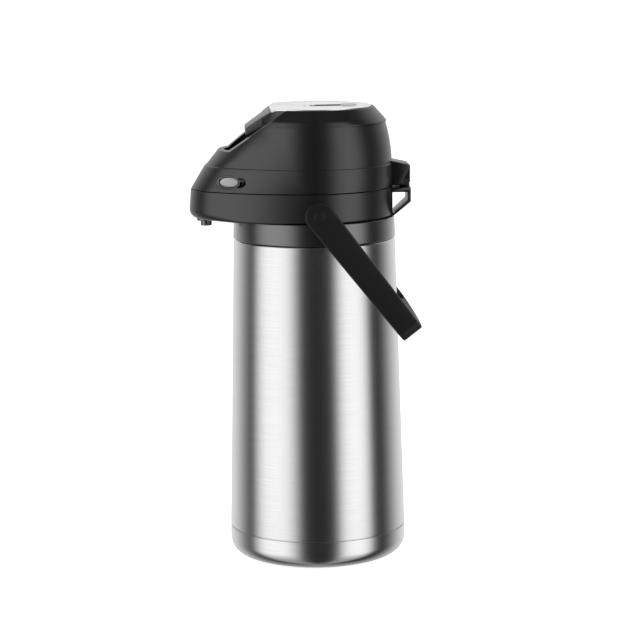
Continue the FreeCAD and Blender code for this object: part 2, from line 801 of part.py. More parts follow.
# ---------------------------------------------------------------- bail
def make_bail():
    """A flat strap bent to a U; its arms taper from round eyes to the grip, which bows outward."""
    form = new_body("bail_plan")

    def bowed(name, half_width, length):
        sketch = new_sketch(form, name, "XY_Plane")
        w, l, bulge = number(half_width), number(length), number("bail_bulge")
        low = -20.0
        radius = (w * w + bulge * bulge) / (2 * bulge)
        half_turn = math.asin(w / radius)
        right = sketch.addGeometry(Part.LineSegment(Vector(w, low, 0), Vector(w, l, 0)), False)
        bow_circle = Part.Circle(Vector(0, l + bulge - radius, 0), Vector(0, 0, 1), radius)
        bow_arc = Part.ArcOfCircle(bow_circle, math.pi / 2 - half_turn, math.pi / 2 + half_turn)
        bow = sketch.addGeometry(bow_arc, False)
        left = sketch.addGeometry(Part.LineSegment(Vector(-w, l, 0), Vector(-w, low, 0)), False)
        bottom = sketch.addGeometry(Part.LineSegment(Vector(-w, low, 0), Vector(w, low, 0)), False)
        for one, two in ((right, bow), (bow, left), (left, bottom), (bottom, right)):
            sketch.addConstraint(Sketcher.Constraint("Coincident", one, 2, two, 1))
        fix_point(sketch, right, 1, (half_width, "-20"))
        fix_point(sketch, bow, 1, (half_width, length))
        fix_point(sketch, left, 1, ("-(%s)" % half_width, length))
        fix_point(sketch, left, 2, ("-(%s)" % half_width, "-20"))
        index = sketch.addConstraint(Sketcher.Constraint("Radius", bow, radius))
        squared = "((%s) * (%s) + bail_bulge * bail_bulge) / (2 * bail_bulge)"
        bind(sketch, "Constraints[%d]" % index, squared % (half_width, half_width))
        return sketch

    def corner_edge(half_width, length):
        def chosen(edge):
            box = edge.BoundBox
            upright = box.ZLength > 10 and box.XLength < 0.01
            at_side = abs(abs(box.XMin) - number(half_width)) < 0.01
            return upright and at_side and abs(box.YMin - number(length)) < 0.01
        return chosen

    outside_length = "arm_length - bail_bulge * 0.15"
    pad(form, bowed("bail_outside", "arm_outer", outside_length), "2 * arm_root_width", symmetric=True)
    rounded(form, "arm_corner", corner_edge("arm_outer", outside_length))
    inside_length = outside_length + " - arm_thickness"
    pocket(form, bowed("bail_inside", "arm_inner", inside_length), "3 * arm_root_width", symmetric=True)
    beyond = "arm_length + 20"
    half_tip = "arm_tip_width / 2 - 20 * (arm_root_width - arm_tip_width) / (2 * arm_length)"
    side = side_prism("bail_side", [
        ("0", "-arm_root_width / 2"),
        (beyond, "-(%s)" % half_tip),
        (beyond, half_tip),
        ("0", "arm_root_width / 2"),
    ], "arm_outer + 5")
    ends, span = ("-arm_outer - 5", "0", "0"), "2 * arm_outer + 10"
    eye = rod("bail_eyes", "arm_root_width / 2", ends, span, "X")
    bore = rod("bail_bores", "pivot_radius + running_fit", ends, span, "X")
    strap = common("bail_strap", form, fuse("bail_outline", side, eye))
    bail = cut("bail_handle", strap, bore)
    bail.Placement = Placement(Vector(), Rotation(Vector(1, 0, 0), -number("bail_droop")))
    bind(bail, ".Placement.Rotation.Angle", "0 - bail_droop")
    place(bail, "0", "pivot_y", "pivot_z")
    return bail


def make_bail_screws():
    def screw(name, sign):
        shank = pivot_rod(name + "_shank", "pivot_radius", "pivot_inner", "cap_face", sign)
        head = pivot_rod(name + "_head", "pivot_radius + 1.4", "cap_face", "cap_face + 1", sign)
        return fuse(name, shank, head)
    return pair("bail_screws", screw)


def make_bail_washers():
    def washer(name, sign):
        disc = pivot_rod(name + "_disc", "boss_radius", "boss_face", "boss_face + washer_thickness", sign)
        hole = pivot_rod(name + "_hole", "pivot_radius", "pivot_inner", "arm_outer", sign)
        return cut(name, disc, hole)
    return pair("bail_washers", washer)


# ---------------------------------------------------------------- lid
def slope_line(drop="0"):
    """The lid's upper face in side view: a level shelf at the nose, then the slope up to the plate."""
    rise = "(slope_low_y - 10) * tan(slope_angle)"
    return [
        ("-140", "slope_z - (%s)" % drop),
        ("-slope_low_y", "slope_z - (%s)" % drop),
        ("-10", "slope_z + %s - (%s)" % (rise, drop)),
    ]


def above_slope(label, drop="0"):
    low = slope_line(drop)
    return side_prism(label, low + [("-10", "cap_top_z + 60"), ("-140", "cap_top_z + 60")], "90")


def tongue_slot(label, low, high, grow="0"):
    """The round-fronted slot that the tongue dips into, grown by a margin all round."""
    half = "slot_half_width + (%s)" % grow
    centre = "slot_half_width - slot_reach"
    front = rod(label + "_front", half, ("0", centre, low), "(%s) - (%s)" % (high, low))
    run = block(label + "_run", ("-(%s)" % half, centre, low), (half, "-38", high))
    return fuse(label, front, run)


def lever_opening(label, low, high):
    """The plate's round hole with the tongue's slot in front of it."""
    hole = rod(label + "_round", "plate_hole", ("0", "0", low), "(%s) - (%s)" % (high, low))
    return fuse(label, hole, tongue_slot(label + "_slot", low, high))


def button_opening(name, sign):
    """The oval well in the lid's flank, square to the button's own axis."""
    body = new_body(name)
    oval(body, name + "_oval", "button_length + 2 * button_clearance", "button_height + 2 * button_clearance")
    pad(body, body.Group[-1], "16", symmetric=True)
    turn_to_flank(body, sign)
    return body


def oval(body, name, length, height, offset="0"):
    """A level slot-shaped outline on the plane square to X: two lines and two half rounds."""
    sketch = new_sketch(body, name, "YZ_Plane", offset)
    radius, half = number(height) / 2, (number(length) - number(height)) / 2
    up = Vector(0, 0, 1)
    top = sketch.addGeometry(Part.LineSegment(Vector(half, radius, 0), Vector(-half, radius, 0)), False)
    front_circle = Part.Circle(Vector(-half, 0, 0), up, radius)
    front = sketch.addGeometry(Part.ArcOfCircle(front_circle, math.pi / 2, 3 * math.pi / 2), False)
    low = sketch.addGeometry(Part.LineSegment(Vector(-half, -radius, 0), Vector(half, -radius, 0)), False)
    rear_circle = Part.Circle(Vector(half, 0, 0), up, radius)
    rear = sketch.addGeometry(Part.ArcOfCircle(rear_circle, -math.pi / 2, math.pi / 2), False)
    order = (top, front, low, rear)
    for i, edge in enumerate(order):
        sketch.addConstraint(Sketcher.Constraint("Tangent", edge, 2, order[(i + 1) % 4], 1))
    half_text = "((%s) - (%s)) / 2" % (length, height)
    fix_point(sketch, front, 3, ("-" + half_text, "0"))
    fix_point(sketch, rear, 3, (half_text, "0"))
    index = sketch.addConstraint(Sketcher.Constraint("Radius", front, radius))
    bind(sketch, "Constraints[%d]" % index, "(%s) / 2" % height)
    return sketch


def on_flank(name, thing, sign):
    """A piece modelled about the X axis, moved to the button's place on that side of the lid."""
    moved = doc.addObject("Part::Compound", name + "_moved")
    moved.Links = [thing]
    turn_to_flank(moved, sign)
    return moved


def turn_to_flank(thing, sign):
    """Moves a piece modelled about the X axis to the button's place on that side of the lid."""
    angle = -number("button_turn") if sign > 0 else 180 + number("button_turn")
    thing.Placement = Placement(Vector(), Rotation(Vector(0, 0, 1), angle))
    bind(thing, ".Placement.Rotation.Angle", "0 - button_turn" if sign > 0 else "180 + button_turn")
    place(thing, "button_x" if sign > 0 else "-button_x", "-button_y", "button_axis_z")


def make_lid_shell():
    outer_band = teardrop_loft("lid_band", BAND)
    outer_dome = teardrop_loft("lid_dome", DOME)
    block_low = "hinge_axis_z - ear_drop"
    ears = side_prism("ear_block", [
        ("head_radius - 4", block_low),
        ("hinge_y", block_low),
        ("hinge_y + ear_reach", "hinge_axis_z"),
        ("hinge_y + ear_reach", "hinge_axis_z + 14.2"),
        ("head_radius - 4", "hinge_axis_z + 18.2"),
    ], "ear_half_width")
    ear_start = ("-ear_half_width", "hinge_y", "hinge_axis_z")
    ear_round = rod("ear_round", "ear_drop", ear_start, "2 * ear_half_width", "X")
    solid = fuse("lid_solid", outer_band, outer_dome, ears, ear_round)
    inner_band = teardrop_loft("lid_band_hollow", BAND, "lid_wall")
    inner_dome = teardrop_loft("lid_dome_hollow", DOME, "lid_wall")
    slot_half, slot_top = "knuckle_half_width + joint_gap", "hinge_axis_z + knuckle_radius + 1"
    knuckle_slot = block("knuckle_slot", ("-(%s)" % slot_half, "head_radius + 1.2", "lid_z - 5"),
                         (slot_half, "hinge_y + 20", slot_top))
    pin_bore = rod("ear_bore", "hinge_pin_radius", ("-30", "hinge_y", "hinge_axis_z"), "60", "X")
    wells = pair("button_wells", button_opening)
    slope = above_slope("lid_slope")
    return cut("lid_shell", solid, inner_band, inner_dome, slope, knuckle_slot, pin_bore, wells)


def make_lid_cap():
    """The bevelled ring round the pump plate, open at the front, with two screw posts under it."""
    parts = [teardrop_loft("cap_form", CAP)]
    bores = []
    for i, (x, y) in enumerate(LID_SCREWS):
        parts.append(rod("cap_post_%d" % i, "3.4", (x, y, "pump_top_z"), "dome_top_z - pump_top_z + 1"))
        bores.append(rod("cap_post_bore_%d" % i, "screw_radius", (x, y, "pump_top_z - 1"), "6"))
    opening = lever_opening("cap_opening", "dome_top_z - 1", "cap_top_z + 1")
    notch = block("cap_pin_notch", ("-(post_outer + 1.5)", "20", "dome_top_z - 1"),
                  ("post_outer + 1.5", "lever_pin_y + 5", "lever_pin_z + 4.6"))
    return cut("lid_cap", fuse("cap_blank", *parts), opening, above_slope("cap_slope"), notch, *bores)


def make_front_panel():
    """The sloping panel in front of the pump plate, slotted for the lever's tongue."""
    form = teardrop_loft("panel_form", DOME, "lid_wall")
    opening = lever_opening("panel_opening", "slope_z - 20", "dome_top_z + 5")
    under = above_slope("panel_underside", "panel_thickness")
    return cut("front_panel", common("panel_blank", form, under), above_slope("panel_face"), opening)


def make_finger_well():
    """The tray under the slot, which gives the tongue and a fingertip room."""
    outer = tongue_slot("well_outer", "well_z", "slope_z + 40", "well_wall")
    inner = tongue_slot("well_inner", "well_z + well_wall", "slope_z + 41")
    rear_y = "-sqrt(plate_hole ^ 2 - slot_half_width ^ 2)"
    rear = block("well_rear", ("-60", rear_y, "well_z - 1"), ("60", "60", "slope_z + 41"))
    return cut("finger_well", outer, inner, rear, above_slope("well_top", "panel_thickness"))


def make_pump_plate():
    outline = ("head_radius", "nose_radius", "nose_reach - 4")
    sections = [("pump_z",) + outline, ("pump_top_z",) + outline]
    plate = teardrop_loft("pump_plate_blank", sections, "lid_wall + 0.3")
    hole = rod("pump_air_hole", "8", ("0", "0", "pump_z - 1"), "pump_plate_thickness + 2")

    def tang_slot(name, sign):
        slot = block(name, ("-16.4 - button_travel", "-3.4", "-12"), ("-12.2", "3.4", "-1"))
        return on_flank(name, slot, sign)

    holes = [hole, pair("tang_slots", tang_slot)]
    for i, (x, y) in enumerate(LID_SCREWS):
        start = (x, y, "pump_z - 1")
        holes.append(rod("pump_screw_hole_%d" % i, "screw_radius", start, "pump_plate_thickness + 2"))
    return cut("pump_plate", plate, *holes)


def make_lid_gasket():
    return ring("lid_gasket", "deck_hole + 1", "deck_hole + 7", "deck_top_z + 0.4", "pump_z")


def make_air_valve():
    return revolved("air_valve", [("0", "pump_top_z"), ("11", "pump_top_z"), ("11", "pump_top_z + 1.2"),
                                  ("0", "pump_top_z + 1.8")])


def make_bellows():
    """A folded rubber wall between the pump plate and the pressure disc."""
    folds = 5
    outside, inside = [], []
    low, high = "pump_top_z", "disc_z"
    for i in range(2 * folds + 1):
        share = i / (2 * folds)
        height = "(%s) + (%s) * ((%s) - (%s))" % (low, share, high, low)
        crest = "bellows_radius" if i % 2 == 0 else "bellows_radius - bellows_fold"
        outside.append((crest, height))
        inside.append((crest + " - 1.6 * bellows_wall", height))
    return revolved("bellows", outside + inside[::-1])


def make_pressure_disc():
    return revolved("pressure_disc", [
        ("0", "disc_z - 3"),
        ("spring_radius - spring_wire - 1", "disc_z - 3"),
        ("spring_radius - spring_wire - 1", "disc_z"),
        ("bellows_radius", "disc_z"),
        ("bellows_radius", "disc_z + 2"),
        ("disc_radius", "disc_z + 2"),
        ("disc_radius - 2", "disc_top_z"),
        ("0", "disc_top_z"),
    ])


def coil(label, radius, wire, low, high, turns):
    """A round wire wound about Z: each turn is a level half and a rising half, which meet along Y."""
    first = "(%s) + 0.6 * (%s)" % (low, wire)
    pitch = "((%s) - (%s) - 1.2 * (%s)) / %d" % (high, low, wire, turns)
    slope = math.degrees(math.atan2(number(pitch) / 2, number(radius)))
    halves = []

    def half(name, size, height, rotation):
        torus = doc.addObject("Part::Torus", name)
        torus.Placement = Placement(Vector(), rotation)
        torus.Angle3 = 180
        bind(torus, "Radius1", size)
        bind(torus, "Radius2", "(%s) / 2" % wire)
        place(torus, "0", "0", height)
        halves.append(torus)

    level = Rotation()
    rising = Rotation(Vector(0, 1, 0), -slope) * Rotation(Vector(0, 0, 1), 180)
    for i in range(turns):
        start = "%s + %d * %s" % (first, i, pitch)
        half("%s_level_%d" % (label, i), radius, start, level)
        half("%s_rising_%d" % (label, i), "sqrt((%s) ^ 2 + (%s / 2) ^ 2)" % (radius, pitch),
             "%s + %s / 2" % (start, pitch), rising)
    return fuse(label, *halves)


def make_return_spring():
    return coil("return_spring", "spring_radius", "spring_wire", "pump_top_z", "disc_z", 6)


def make_lever_bracket():
    """Two posts on the pump plate that carry the lever's pin."""
    foot = block("lever_foot", ("-post_outer", "lever_pin_y - 4.5", "pump_top_z"),
                 ("post_outer", "lever_pin_y + 4.5", "pump_top_z + 3"))

    def post(name, sign):
        start = "post_inner" if sign > 0 else "-post_outer"
        eye_start = (start, "lever_pin_y", "lever_pin_z")
        upright = block(name + "_upright", (start, "lever_pin_y - post_eye", "pump_top_z"),
                        (start + " + post_width", "lever_pin_y + post_eye", "lever_pin_z"))
        return fuse(name, upright, rod(name + "_eye", "post_eye", eye_start, "post_width", "X"))

    bore = rod("lever_post_bore", "lever_pin_radius", ("-40", "lever_pin_y", "lever_pin_z"), "80", "X")
    return cut("lever_bracket", fuse("lever_bracket_blank", foot, pair("lever_posts", post)), bore)


def make_lever_pin():
    start = ("-post_outer - 1", "lever_pin_y", "lever_pin_z")
    return rod("lever_pin", "lever_pin_radius", start, "2 * post_outer + 2", "X")


# ---------------------------------------------------------------- lever
def lever_plan(label, inset):
    """The round plate and its tapering tongue, seen from above, as a tall prism."""
    disc = rod(label + "_disc", "plate_radius - (%s)" % inset, ("0", "0", "slope_z - 30"), "120")
    root, tip = "tongue_root_half_width - (%s)" % inset, "tongue_half_width - (%s)" % inset
    tongue = plan_prism(label + "_tongue", [
        (root, "-20"),
        ("-(%s)" % root, "-20"),
        ("-(%s)" % root, "-tongue_bend_y"),
        ("-(%s)" % tip, "-tongue_reach + (%s)" % inset),
        (tip, "-tongue_reach + (%s)" % inset),
        (root, "-tongue_bend_y"),
    ], "slope_z - 30", "slope_z + 90")
    return fuse(label, disc, tongue)


def make_lever_plate():
    """The pressed steel top: flat over the pump, turned down before the tongue, slotted for the lock."""
    strip = side_prism("plate_side", [
        ("-tongue_bend_y", "plate_top_z - 2.2"),
        ("-tongue_bend_y + 3", "plate_top_z - 0.5"),
        ("-tongue_bend_y + 7", "plate_top_z"),
        ("plate_radius", "plate_top_z"),
        ("plate_radius", "lever_top_z"),
        ("-tongue_bend_y + 7", "lever_top_z"),
        ("-tongue_bend_y + 3", "lever_top_z - 0.5"),
        ("-tongue_bend_y", "lever_top_z - 2.2"),
    ], "plate_radius")
    slot = lock_slot("plate_lock_slot", "lever_top_z - 1", "plate_top_z + 1")
    dot = rod("plate_dot_hole", "1.6", ("0", "-7.4", "lever_top_z - 1"), "plate_thickness + 2")
    return cut("lever_plate", common("plate_blank", lever_plan("plate_plan", "0"), strip), slot, dot)


def lock_slot(label, low, high):
    """A slot with round ends along Y, for the lock slider."""
    half = "lock_width / 2 + slide_clearance"
    front, rear = "-lock_slot_front + " + half, "lock_slot_rear - (%s)" % half
    length = "(%s) - (%s)" % (high, low)
    places = (("front", front), ("rear", rear))
    ends = [rod(label + "_" + name, half, ("0", y, low), length) for name, y in places]
    middle = block(label + "_middle", ("-(%s)" % half, front, low), (half, rear, high))
    return fuse(label, middle, *ends)


def make_lever():
    """The moulded lever under the plate: a disc with a tongue, ears for the pin, and a round pusher."""
    tip_top = "plate_top_z - tongue_drop"
    low = "lever_top_z - lever_depth"
    step = "-tongue_bend_y - plate_step"
    side = side_prism("lever_side", [
        ("-tongue_reach", tip_top),
        (step, "plate_top_z - 2.2 - plate_step"),
        (step, "lever_top_z - 2.2 - plate_step"),
        ("-tongue_bend_y", "lever_top_z - 2.2"),
        ("-tongue_bend_y + 3", "lever_top_z - 0.5"),
        ("-tongue_bend_y + 7", "lever_top_z"),
        ("plate_radius", "lever_top_z"),
        ("plate_radius", low),
        ("-tongue_bend_y + 7", low),
        ("-tongue_reach + 0.8", tip_top + " - plate_thickness - tongue_depth"),
    ], "plate_radius")
    form = common("lever_form", lever_plan("lever_outline", "plate_overhang"), side)
    pusher = doc.addObject("Part::Sphere", "lever_pusher")
    bind(pusher, "Radius", "pusher_radius")
    place(pusher, "0", "0", "lever_pin_z")

    def ear(name, sign):
        start = "post_inner - 0.6 - ear_width" if sign > 0 else "-post_inner + 0.6"
        eye_start = (start, "lever_pin_y", "lever_pin_z")
        tab = block(name + "_tab", (start, "lever_pin_y - ear_eye", "lever_pin_z"),
                    (start + " + ear_width", "lever_pin_y + ear_eye", low + " + 1"))
        return fuse(name, tab, rod(name + "_eye", "ear_eye", eye_start, "ear_width", "X"))

    bore_start = ("-40", "lever_pin_y", "lever_pin_z")
    bore = rod("lever_ear_bore", "lever_pin_radius + running_fit", bore_start, "80", "X")
    track = lock_slot("lever_lock_track", "lever_top_z - lock_depth - slide_clearance", "lever_top_z + 1")
    return cut("pump_lever", fuse("lever_blank", form, pusher, pair("lever_ears", ear)), bore, track)


def make_lock_slider():
    """A round-ended thumb piece in the plate's slot, parked at the rear."""
    half = "lock_width / 2"
    rear = "lock_slot_rear - slide_clearance"
    low, high = "lever_top_z - lock_depth", "plate_top_z + lock_proud"
    length = "(%s) - (%s)" % (high, low)
    round_end = rod("lock_round", half, ("0", rear + " - " + half, low), length)
    body = block("lock_block", ("-" + half, rear + " - lock_length", low), (half, rear + " - " + half, high))
    return fuse("lock_slider", round_end, body)


# ---------------------------------------------------------------- release buttons
def make_button(name, sign):
    """An oval cap on a round stem, with a flat tang that reaches down to the catch."""
    body = new_body(name + "_cap")
    cap_sketch = oval(body, name + "_oval", "button_length", "button_height", "-cap_back")
    pad(body, cap_sketch, "button_cap")
    stem_end = "stem_length - button_sink - 1"
    stem = rod(name + "_stem", "stem_radius", ("-stem_length", "0", "0"), stem_end, "X")
    tang = block(name + "_tang", ("-stem_length", "-tang_half_width", "-tang_drop"),
                 ("-stem_length + tang_thickness", "tang_half_width", "stem_radius"))
    button = fuse(name, body, stem, tang)
    turn_to_flank(button, sign)
    return button


def make_button_springs():
    """Coils round the stems, behind the caps, drawn as short as a full press leaves them."""
    def spring(name, sign):
        raw = coil(name + "_coil", "stem_radius + 0.8", "0.8", "0", "button_spring", 2)
        along_stem = doc.addObject("Part::Compound", name + "_along")
        along_stem.Links = [raw]
        along_stem.Placement = Placement(Vector(), Rotation(Vector(0, 1, 0), 90))
        place(along_stem, "0.1 - guide_face", "0", "0")
        return on_flank(name, along_stem, sign)
    return pair("button_springs", spring)


def make_button_guides():
    """Upright plates on the pump plate that guide the button stems."""
    def guide(name, sign):
        plate = block(name + "_plate", ("-guide_face - button_guide", "-8", "-(button_axis_z - pump_top_z)"),
                      ("-guide_face", "8", "5.5"))
        bore = rod(name + "_bore", "stem_radius + running_fit", ("-20", "0", "0"), "20", "X")
        return on_flank(name, cut(name + "_drilled", plate, bore), sign)
    return pair("button_guides", guide)


def make_catches():
    """Catch blocks on the deck, just outboard of the tangs."""
    def catch(name, sign):
        low = "-(button_axis_z - deck_top_z)"
        body = block(name + "_block", ("-12.4", "-4", low), ("-9.4", "4", low + " + 2.6"))
        return on_flank(name, body, sign)
    return pair("latch_catches", catch)


# ---------------------------------------------------------------- fasteners
def screws(label, places, low, length, head_high):
    """Small pan-head screws along Z: places are (x, y) pairs, the head is above or below the shank."""
    pieces = []
    for i, (x, y) in enumerate(places):
        shank = rod("%s_shank_%d" % (label, i), "screw_radius", (x, y, low), length)
        head_z = "(%s) + (%s)" % (low, length) if head_high else "(%s) - screw_head_height" % low
        head = rod("%s_head_%d" % (label, i), "screw_head_radius", (x, y, head_z), "screw_head_height")
        pieces.append(fuse("%s_%d" % (label, i), shank, head))
    return fuse(label, *pieces)


def make_deck_screws():
    return screws("deck_screws", DECK_SCREWS, "deck_z - 4", "deck_thickness + 4", True)


def make_deck_posts():
    """Hollow posts on the head's floor that take the deck screws."""
    posts = []
    for i, (x, y) in enumerate(DECK_SCREWS):
        post = rod("deck_post_%d" % i, "4", (x, y, "floor_z"), "deck_z - floor_z")
        bore = rod("deck_post_bore_%d" % i, "screw_radius", (x, y, "deck_z - 4"), "5")
        posts.append(cut("deck_post_drilled_%d" % i, post, bore))
    return fuse("deck_posts", *posts)


def make_lid_screws():
    return screws("lid_screws", LID_SCREWS, "pump_z", "pump_plate_thickness + 5", False)


MAKERS = [
    make_shell, make_base_cup, make_foot_pad, make_vacuum_bottom, make_flask,
    make_collar, make_head_base, make_neck_nut, make_neck_gasket, make_stopper,
    make_outlet_bush, make_siphon_tube, make_tube_foot, make_spout_pipe, make_nozzle,
    make_nozzle_seal, make_deck, make_deck_posts, make_deck_screws, make_catches,
    make_bracket, make_hinge_pin, make_bail, make_bail_screws, make_bail_washers,
    make_lid_shell, make_lid_cap, make_front_panel, make_finger_well, make_pump_plate,
    make_lid_gasket, make_lid_screws, make_air_valve, make_bellows, make_pressure_disc, make_return_spring,
    make_lever_bracket, make_lever_pin, make_lever_plate, make_lever, make_lock_slider,
    make_button_springs, make_button_guides,
]

nodes = [make() for make in MAKERS]
nodes.append(make_button("button_right", 1))
nodes.append(make_button("button_left", -1))
doc.recompute()

# ---------------------------------------------------------------- checks and files
for thing in doc.Objects:
    faults = [word for word in thing.State if word in ("Invalid", "Error")]
    if faults:
        raise RuntimeError("%s is %s" % (thing.Name, faults))
for node in nodes:
    if node.Shape.isNull() or not node.Shape.isValid() or not node.Shape.Solids:
        raise RuntimeError(node.Label + " has no sound solid")

os.makedirs("parts", exist_ok=True)
for node in nodes:
    node.Shape.exportStep("parts/%s.step" % node.Label)
    print("%-16s %d solids %10.0f mm3" % (node.Label, len(node.Shape.Solids), node.Shape.Volume))
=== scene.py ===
"""A three litre pump airpot.

Brushed steel body, black head with a spout, hinged lid with a pump lever, and a bail.
Metres, +Z up, spout towards -Y, lid hinge towards +Y.
"""
import bmesh
import bpy
import json
import math
from mathutils import Matrix, Vector


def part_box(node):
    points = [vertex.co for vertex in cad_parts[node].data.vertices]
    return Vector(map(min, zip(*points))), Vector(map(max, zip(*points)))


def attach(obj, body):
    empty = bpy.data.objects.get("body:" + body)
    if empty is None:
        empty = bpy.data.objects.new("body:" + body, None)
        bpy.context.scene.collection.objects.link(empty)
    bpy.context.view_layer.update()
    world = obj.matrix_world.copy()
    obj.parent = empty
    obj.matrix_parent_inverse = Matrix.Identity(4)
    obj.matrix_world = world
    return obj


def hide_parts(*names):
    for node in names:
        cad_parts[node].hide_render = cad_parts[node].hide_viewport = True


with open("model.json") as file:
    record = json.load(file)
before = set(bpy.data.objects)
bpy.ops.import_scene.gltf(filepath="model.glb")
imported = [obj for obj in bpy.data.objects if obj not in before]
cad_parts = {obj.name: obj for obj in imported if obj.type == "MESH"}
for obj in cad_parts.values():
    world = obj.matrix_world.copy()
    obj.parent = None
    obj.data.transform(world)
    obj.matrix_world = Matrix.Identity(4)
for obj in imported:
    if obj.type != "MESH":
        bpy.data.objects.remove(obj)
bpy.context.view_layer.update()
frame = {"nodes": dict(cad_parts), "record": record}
NODES = frame["nodes"]
SLOT_OF = {part["node"]: part["material_slot"] for part in frame["record"]["subparts"]}

MM = 0.001
TAU = 2 * math.pi
DOUBLE = 1e-7  # points nearer than this are one point


# ---------------------------------------------------------------- levels taken from the frame
def level(node, end):
    """The lowest (end 0) or highest (end 1) point of a node."""
    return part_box(node)[end].z


def reach(node, axis):
    """How far a node goes along an axis (0, 1 or 2)."""
    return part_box(node)[1][axis]


def middle(node, axis):
    """The middle of a node along an axis."""
    low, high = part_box(node)
    return (low[axis] + high[axis]) / 2


BASE_LOW = level("base_cup", 0)
SHELL_LOW = level("outer_shell", 0)
BASE_TOP = SHELL_LOW - 0.8 * MM
COLLAR_LOW, COLLAR_TOP = level("collar", 0), level("collar", 1)
SHELL_TOP = COLLAR_LOW - 0.2 * MM
HEAD_LOW, HEAD_TOP = level("head_base", 0), level("head_base", 1)
LID_LOW, DOME_TOP = level("lid_shell", 0), level("lid_shell", 1)
BAND_TOP = DOME_TOP - 36.0 * MM
CAP_TOP = level("lid_cap", 1)
SHELF = level("front_panel", 0) + 3.0 * MM  # the level shelf at the foot of the lid's slope
SLOPE_LOW_Y = -74.4 * MM
SLOPE_ANGLE = math.radians(36.5)
PLATE_RADIUS = reach("lever_plate", 0)
PIVOT = Vector((0, middle("bail_washers", 1), middle("bail_screws", 2)))
HINGE = Vector((0, middle("hinge_pin", 1), middle("hinge_pin", 2)))
SPOUT_Y = middle("nozzle", 1)
BODY_CENTRE = Vector((0, 0, 0.25))


# ---------------------------------------------------------------- plan outlines and skins
FLANK = 180.0 * MM
ARC_STEPS = {"rear": 72, "flank": 36, "nose": 64}
# teardrop sections: the height in metres, then rear radius, nose radius and nose reach in millimetres
HEAD = [(HEAD_LOW, 69.3, 45, 110.1), (HEAD_TOP, 69.3, 45, 108)]
BAND = [
    (LID_LOW, 69.3, 45, 107.6),
    ((LID_LOW + BAND_TOP) / 2, 70.0, 46, 101.4),
    (BAND_TOP, 69.5, 48, 95),
]
DOME = [
    (BAND_TOP, 68.9, 46.5, 94.1),
    (BAND_TOP + 13.3 * MM, 68.1, 55, 83.4),
    (DOME_TOP, 63.4, 54, 66),
]
CAP = [(DOME_TOP, 65.3, 55, 67), (CAP_TOP, 53.6, 48, 56)]


def teardrop(height, rear, nose, nose_reach, inset=0.0):
    """A level loop: a round rear about the axis, a round nose, and a bowed flank tangent to both."""
    rear, nose, flank = rear - inset, nose - inset, FLANK - inset
    nose_y = nose - (nose_reach - inset)
    to_rear, to_nose = flank - rear, flank - nose
    flank_y = (nose_y ** 2 + to_rear ** 2 - to_nose ** 2) / (2 * nose_y)
    flank_x = -math.sqrt(to_rear ** 2 - flank_y ** 2)
    rear_turn = math.atan2(-flank_y, -flank_x)
    nose_turn = math.atan2(nose_y - flank_y, -flank_x)
    arcs = [
        ((0, 0), rear, rear_turn, math.pi - rear_turn, ARC_STEPS["rear"]),
        ((-flank_x, flank_y), flank, math.pi - rear_turn, math.pi - nose_turn, ARC_STEPS["flank"]),
        ((0, nose_y), nose, math.pi - nose_turn, TAU + nose_turn, ARC_STEPS["nose"]),
        ((flank_x, flank_y), flank, nose_turn, rear_turn, ARC_STEPS["flank"]),
    ]
    loop = []
    for (x, y), radius, start, stop, steps in arcs:
        for i in range(steps):
            turn = start + (stop - start) * i / steps
            loop.append(Vector((x + radius * math.cos(turn), y + radius * math.sin(turn), height)))
    return loop


def section_at(sections, height):
    """The section at a height, on the parabola (or line) through the given ones, in metres."""
    values = [0.0, 0.0, 0.0]
    for i, one in enumerate(sections):
        weight = 1.0
        for j, other in enumerate(sections):
            if i != j:
                weight *= (height - other[0]) / (one[0] - other[0])
        values = [v + weight * size * MM for v, size in zip(values, one[1:])]
    return values


def teardrop_rings(sections, low, high, steps, inset=0.0):
    """Loops from one height to another, all set in by the same amount."""
    rings = []
    for i in range(steps + 1):
        share = i / steps
        height = low + (high - low) * share
        rear, nose, nose_reach = section_at(sections, height)
        rings.append(teardrop(height, rear, nose, nose_reach, inset))
    return rings


def rounded_edge(sections, edge, radius, upwards, steps=4):
    """Loops that round the outer edge at one end of a loft: from flat face to side, or back."""
    rings = []
    for i in range(steps + 1):
        turn = math.pi / 2 * i / steps
        inset, rise = radius * (1 - math.sin(turn)), radius * (1 - math.cos(turn))
        height = edge + rise if upwards else edge - rise
        rear, nose, nose_reach = section_at(sections, height)
        rings.append(teardrop(height, rear, nose, nose_reach, inset))
    return rings if upwards else rings[::-1]


def eased(value, start, stop):
    """0 before start, 1 after stop, and a smooth step between them."""
    share = min(max((value - start) / (stop - start), 0.0), 1.0)
    return share * share * (3 - 2 * share)


def skin(rings, closed=False):
    """A mesh through loops of equally many points; its ends are flat, or the last loop joins the first."""
    count = len(rings[0])
    points = [point for ring in rings for point in ring]
    faces = []
    for i in range(len(rings) if closed else len(rings) - 1):
        low, high = i * count, (i + 1) % len(rings) * count
        for j in range(count):
            k = (j + 1) % count
            faces.append((low + j, low + k, high + k, high + j))
    if not closed:
        faces.append(tuple(reversed(range(count))))
        faces.append(tuple(range((len(rings) - 1) * count, len(rings) * count)))
    mesh = bpy.data.meshes.new("skin")
    mesh.from_pydata([tuple(point) for point in points], [], faces)
    return outward(mesh)


def outward(mesh):
    """Merges double points and turns every face outward."""
    work = bmesh.new()
    work.from_mesh(mesh)
    bmesh.ops.remove_doubles(work, verts=work.verts, dist=DOUBLE)
    bmesh.ops.recalc_face_normals(work, faces=work.faces)
    work.to_mesh(mesh)
    work.free()
    return mesh


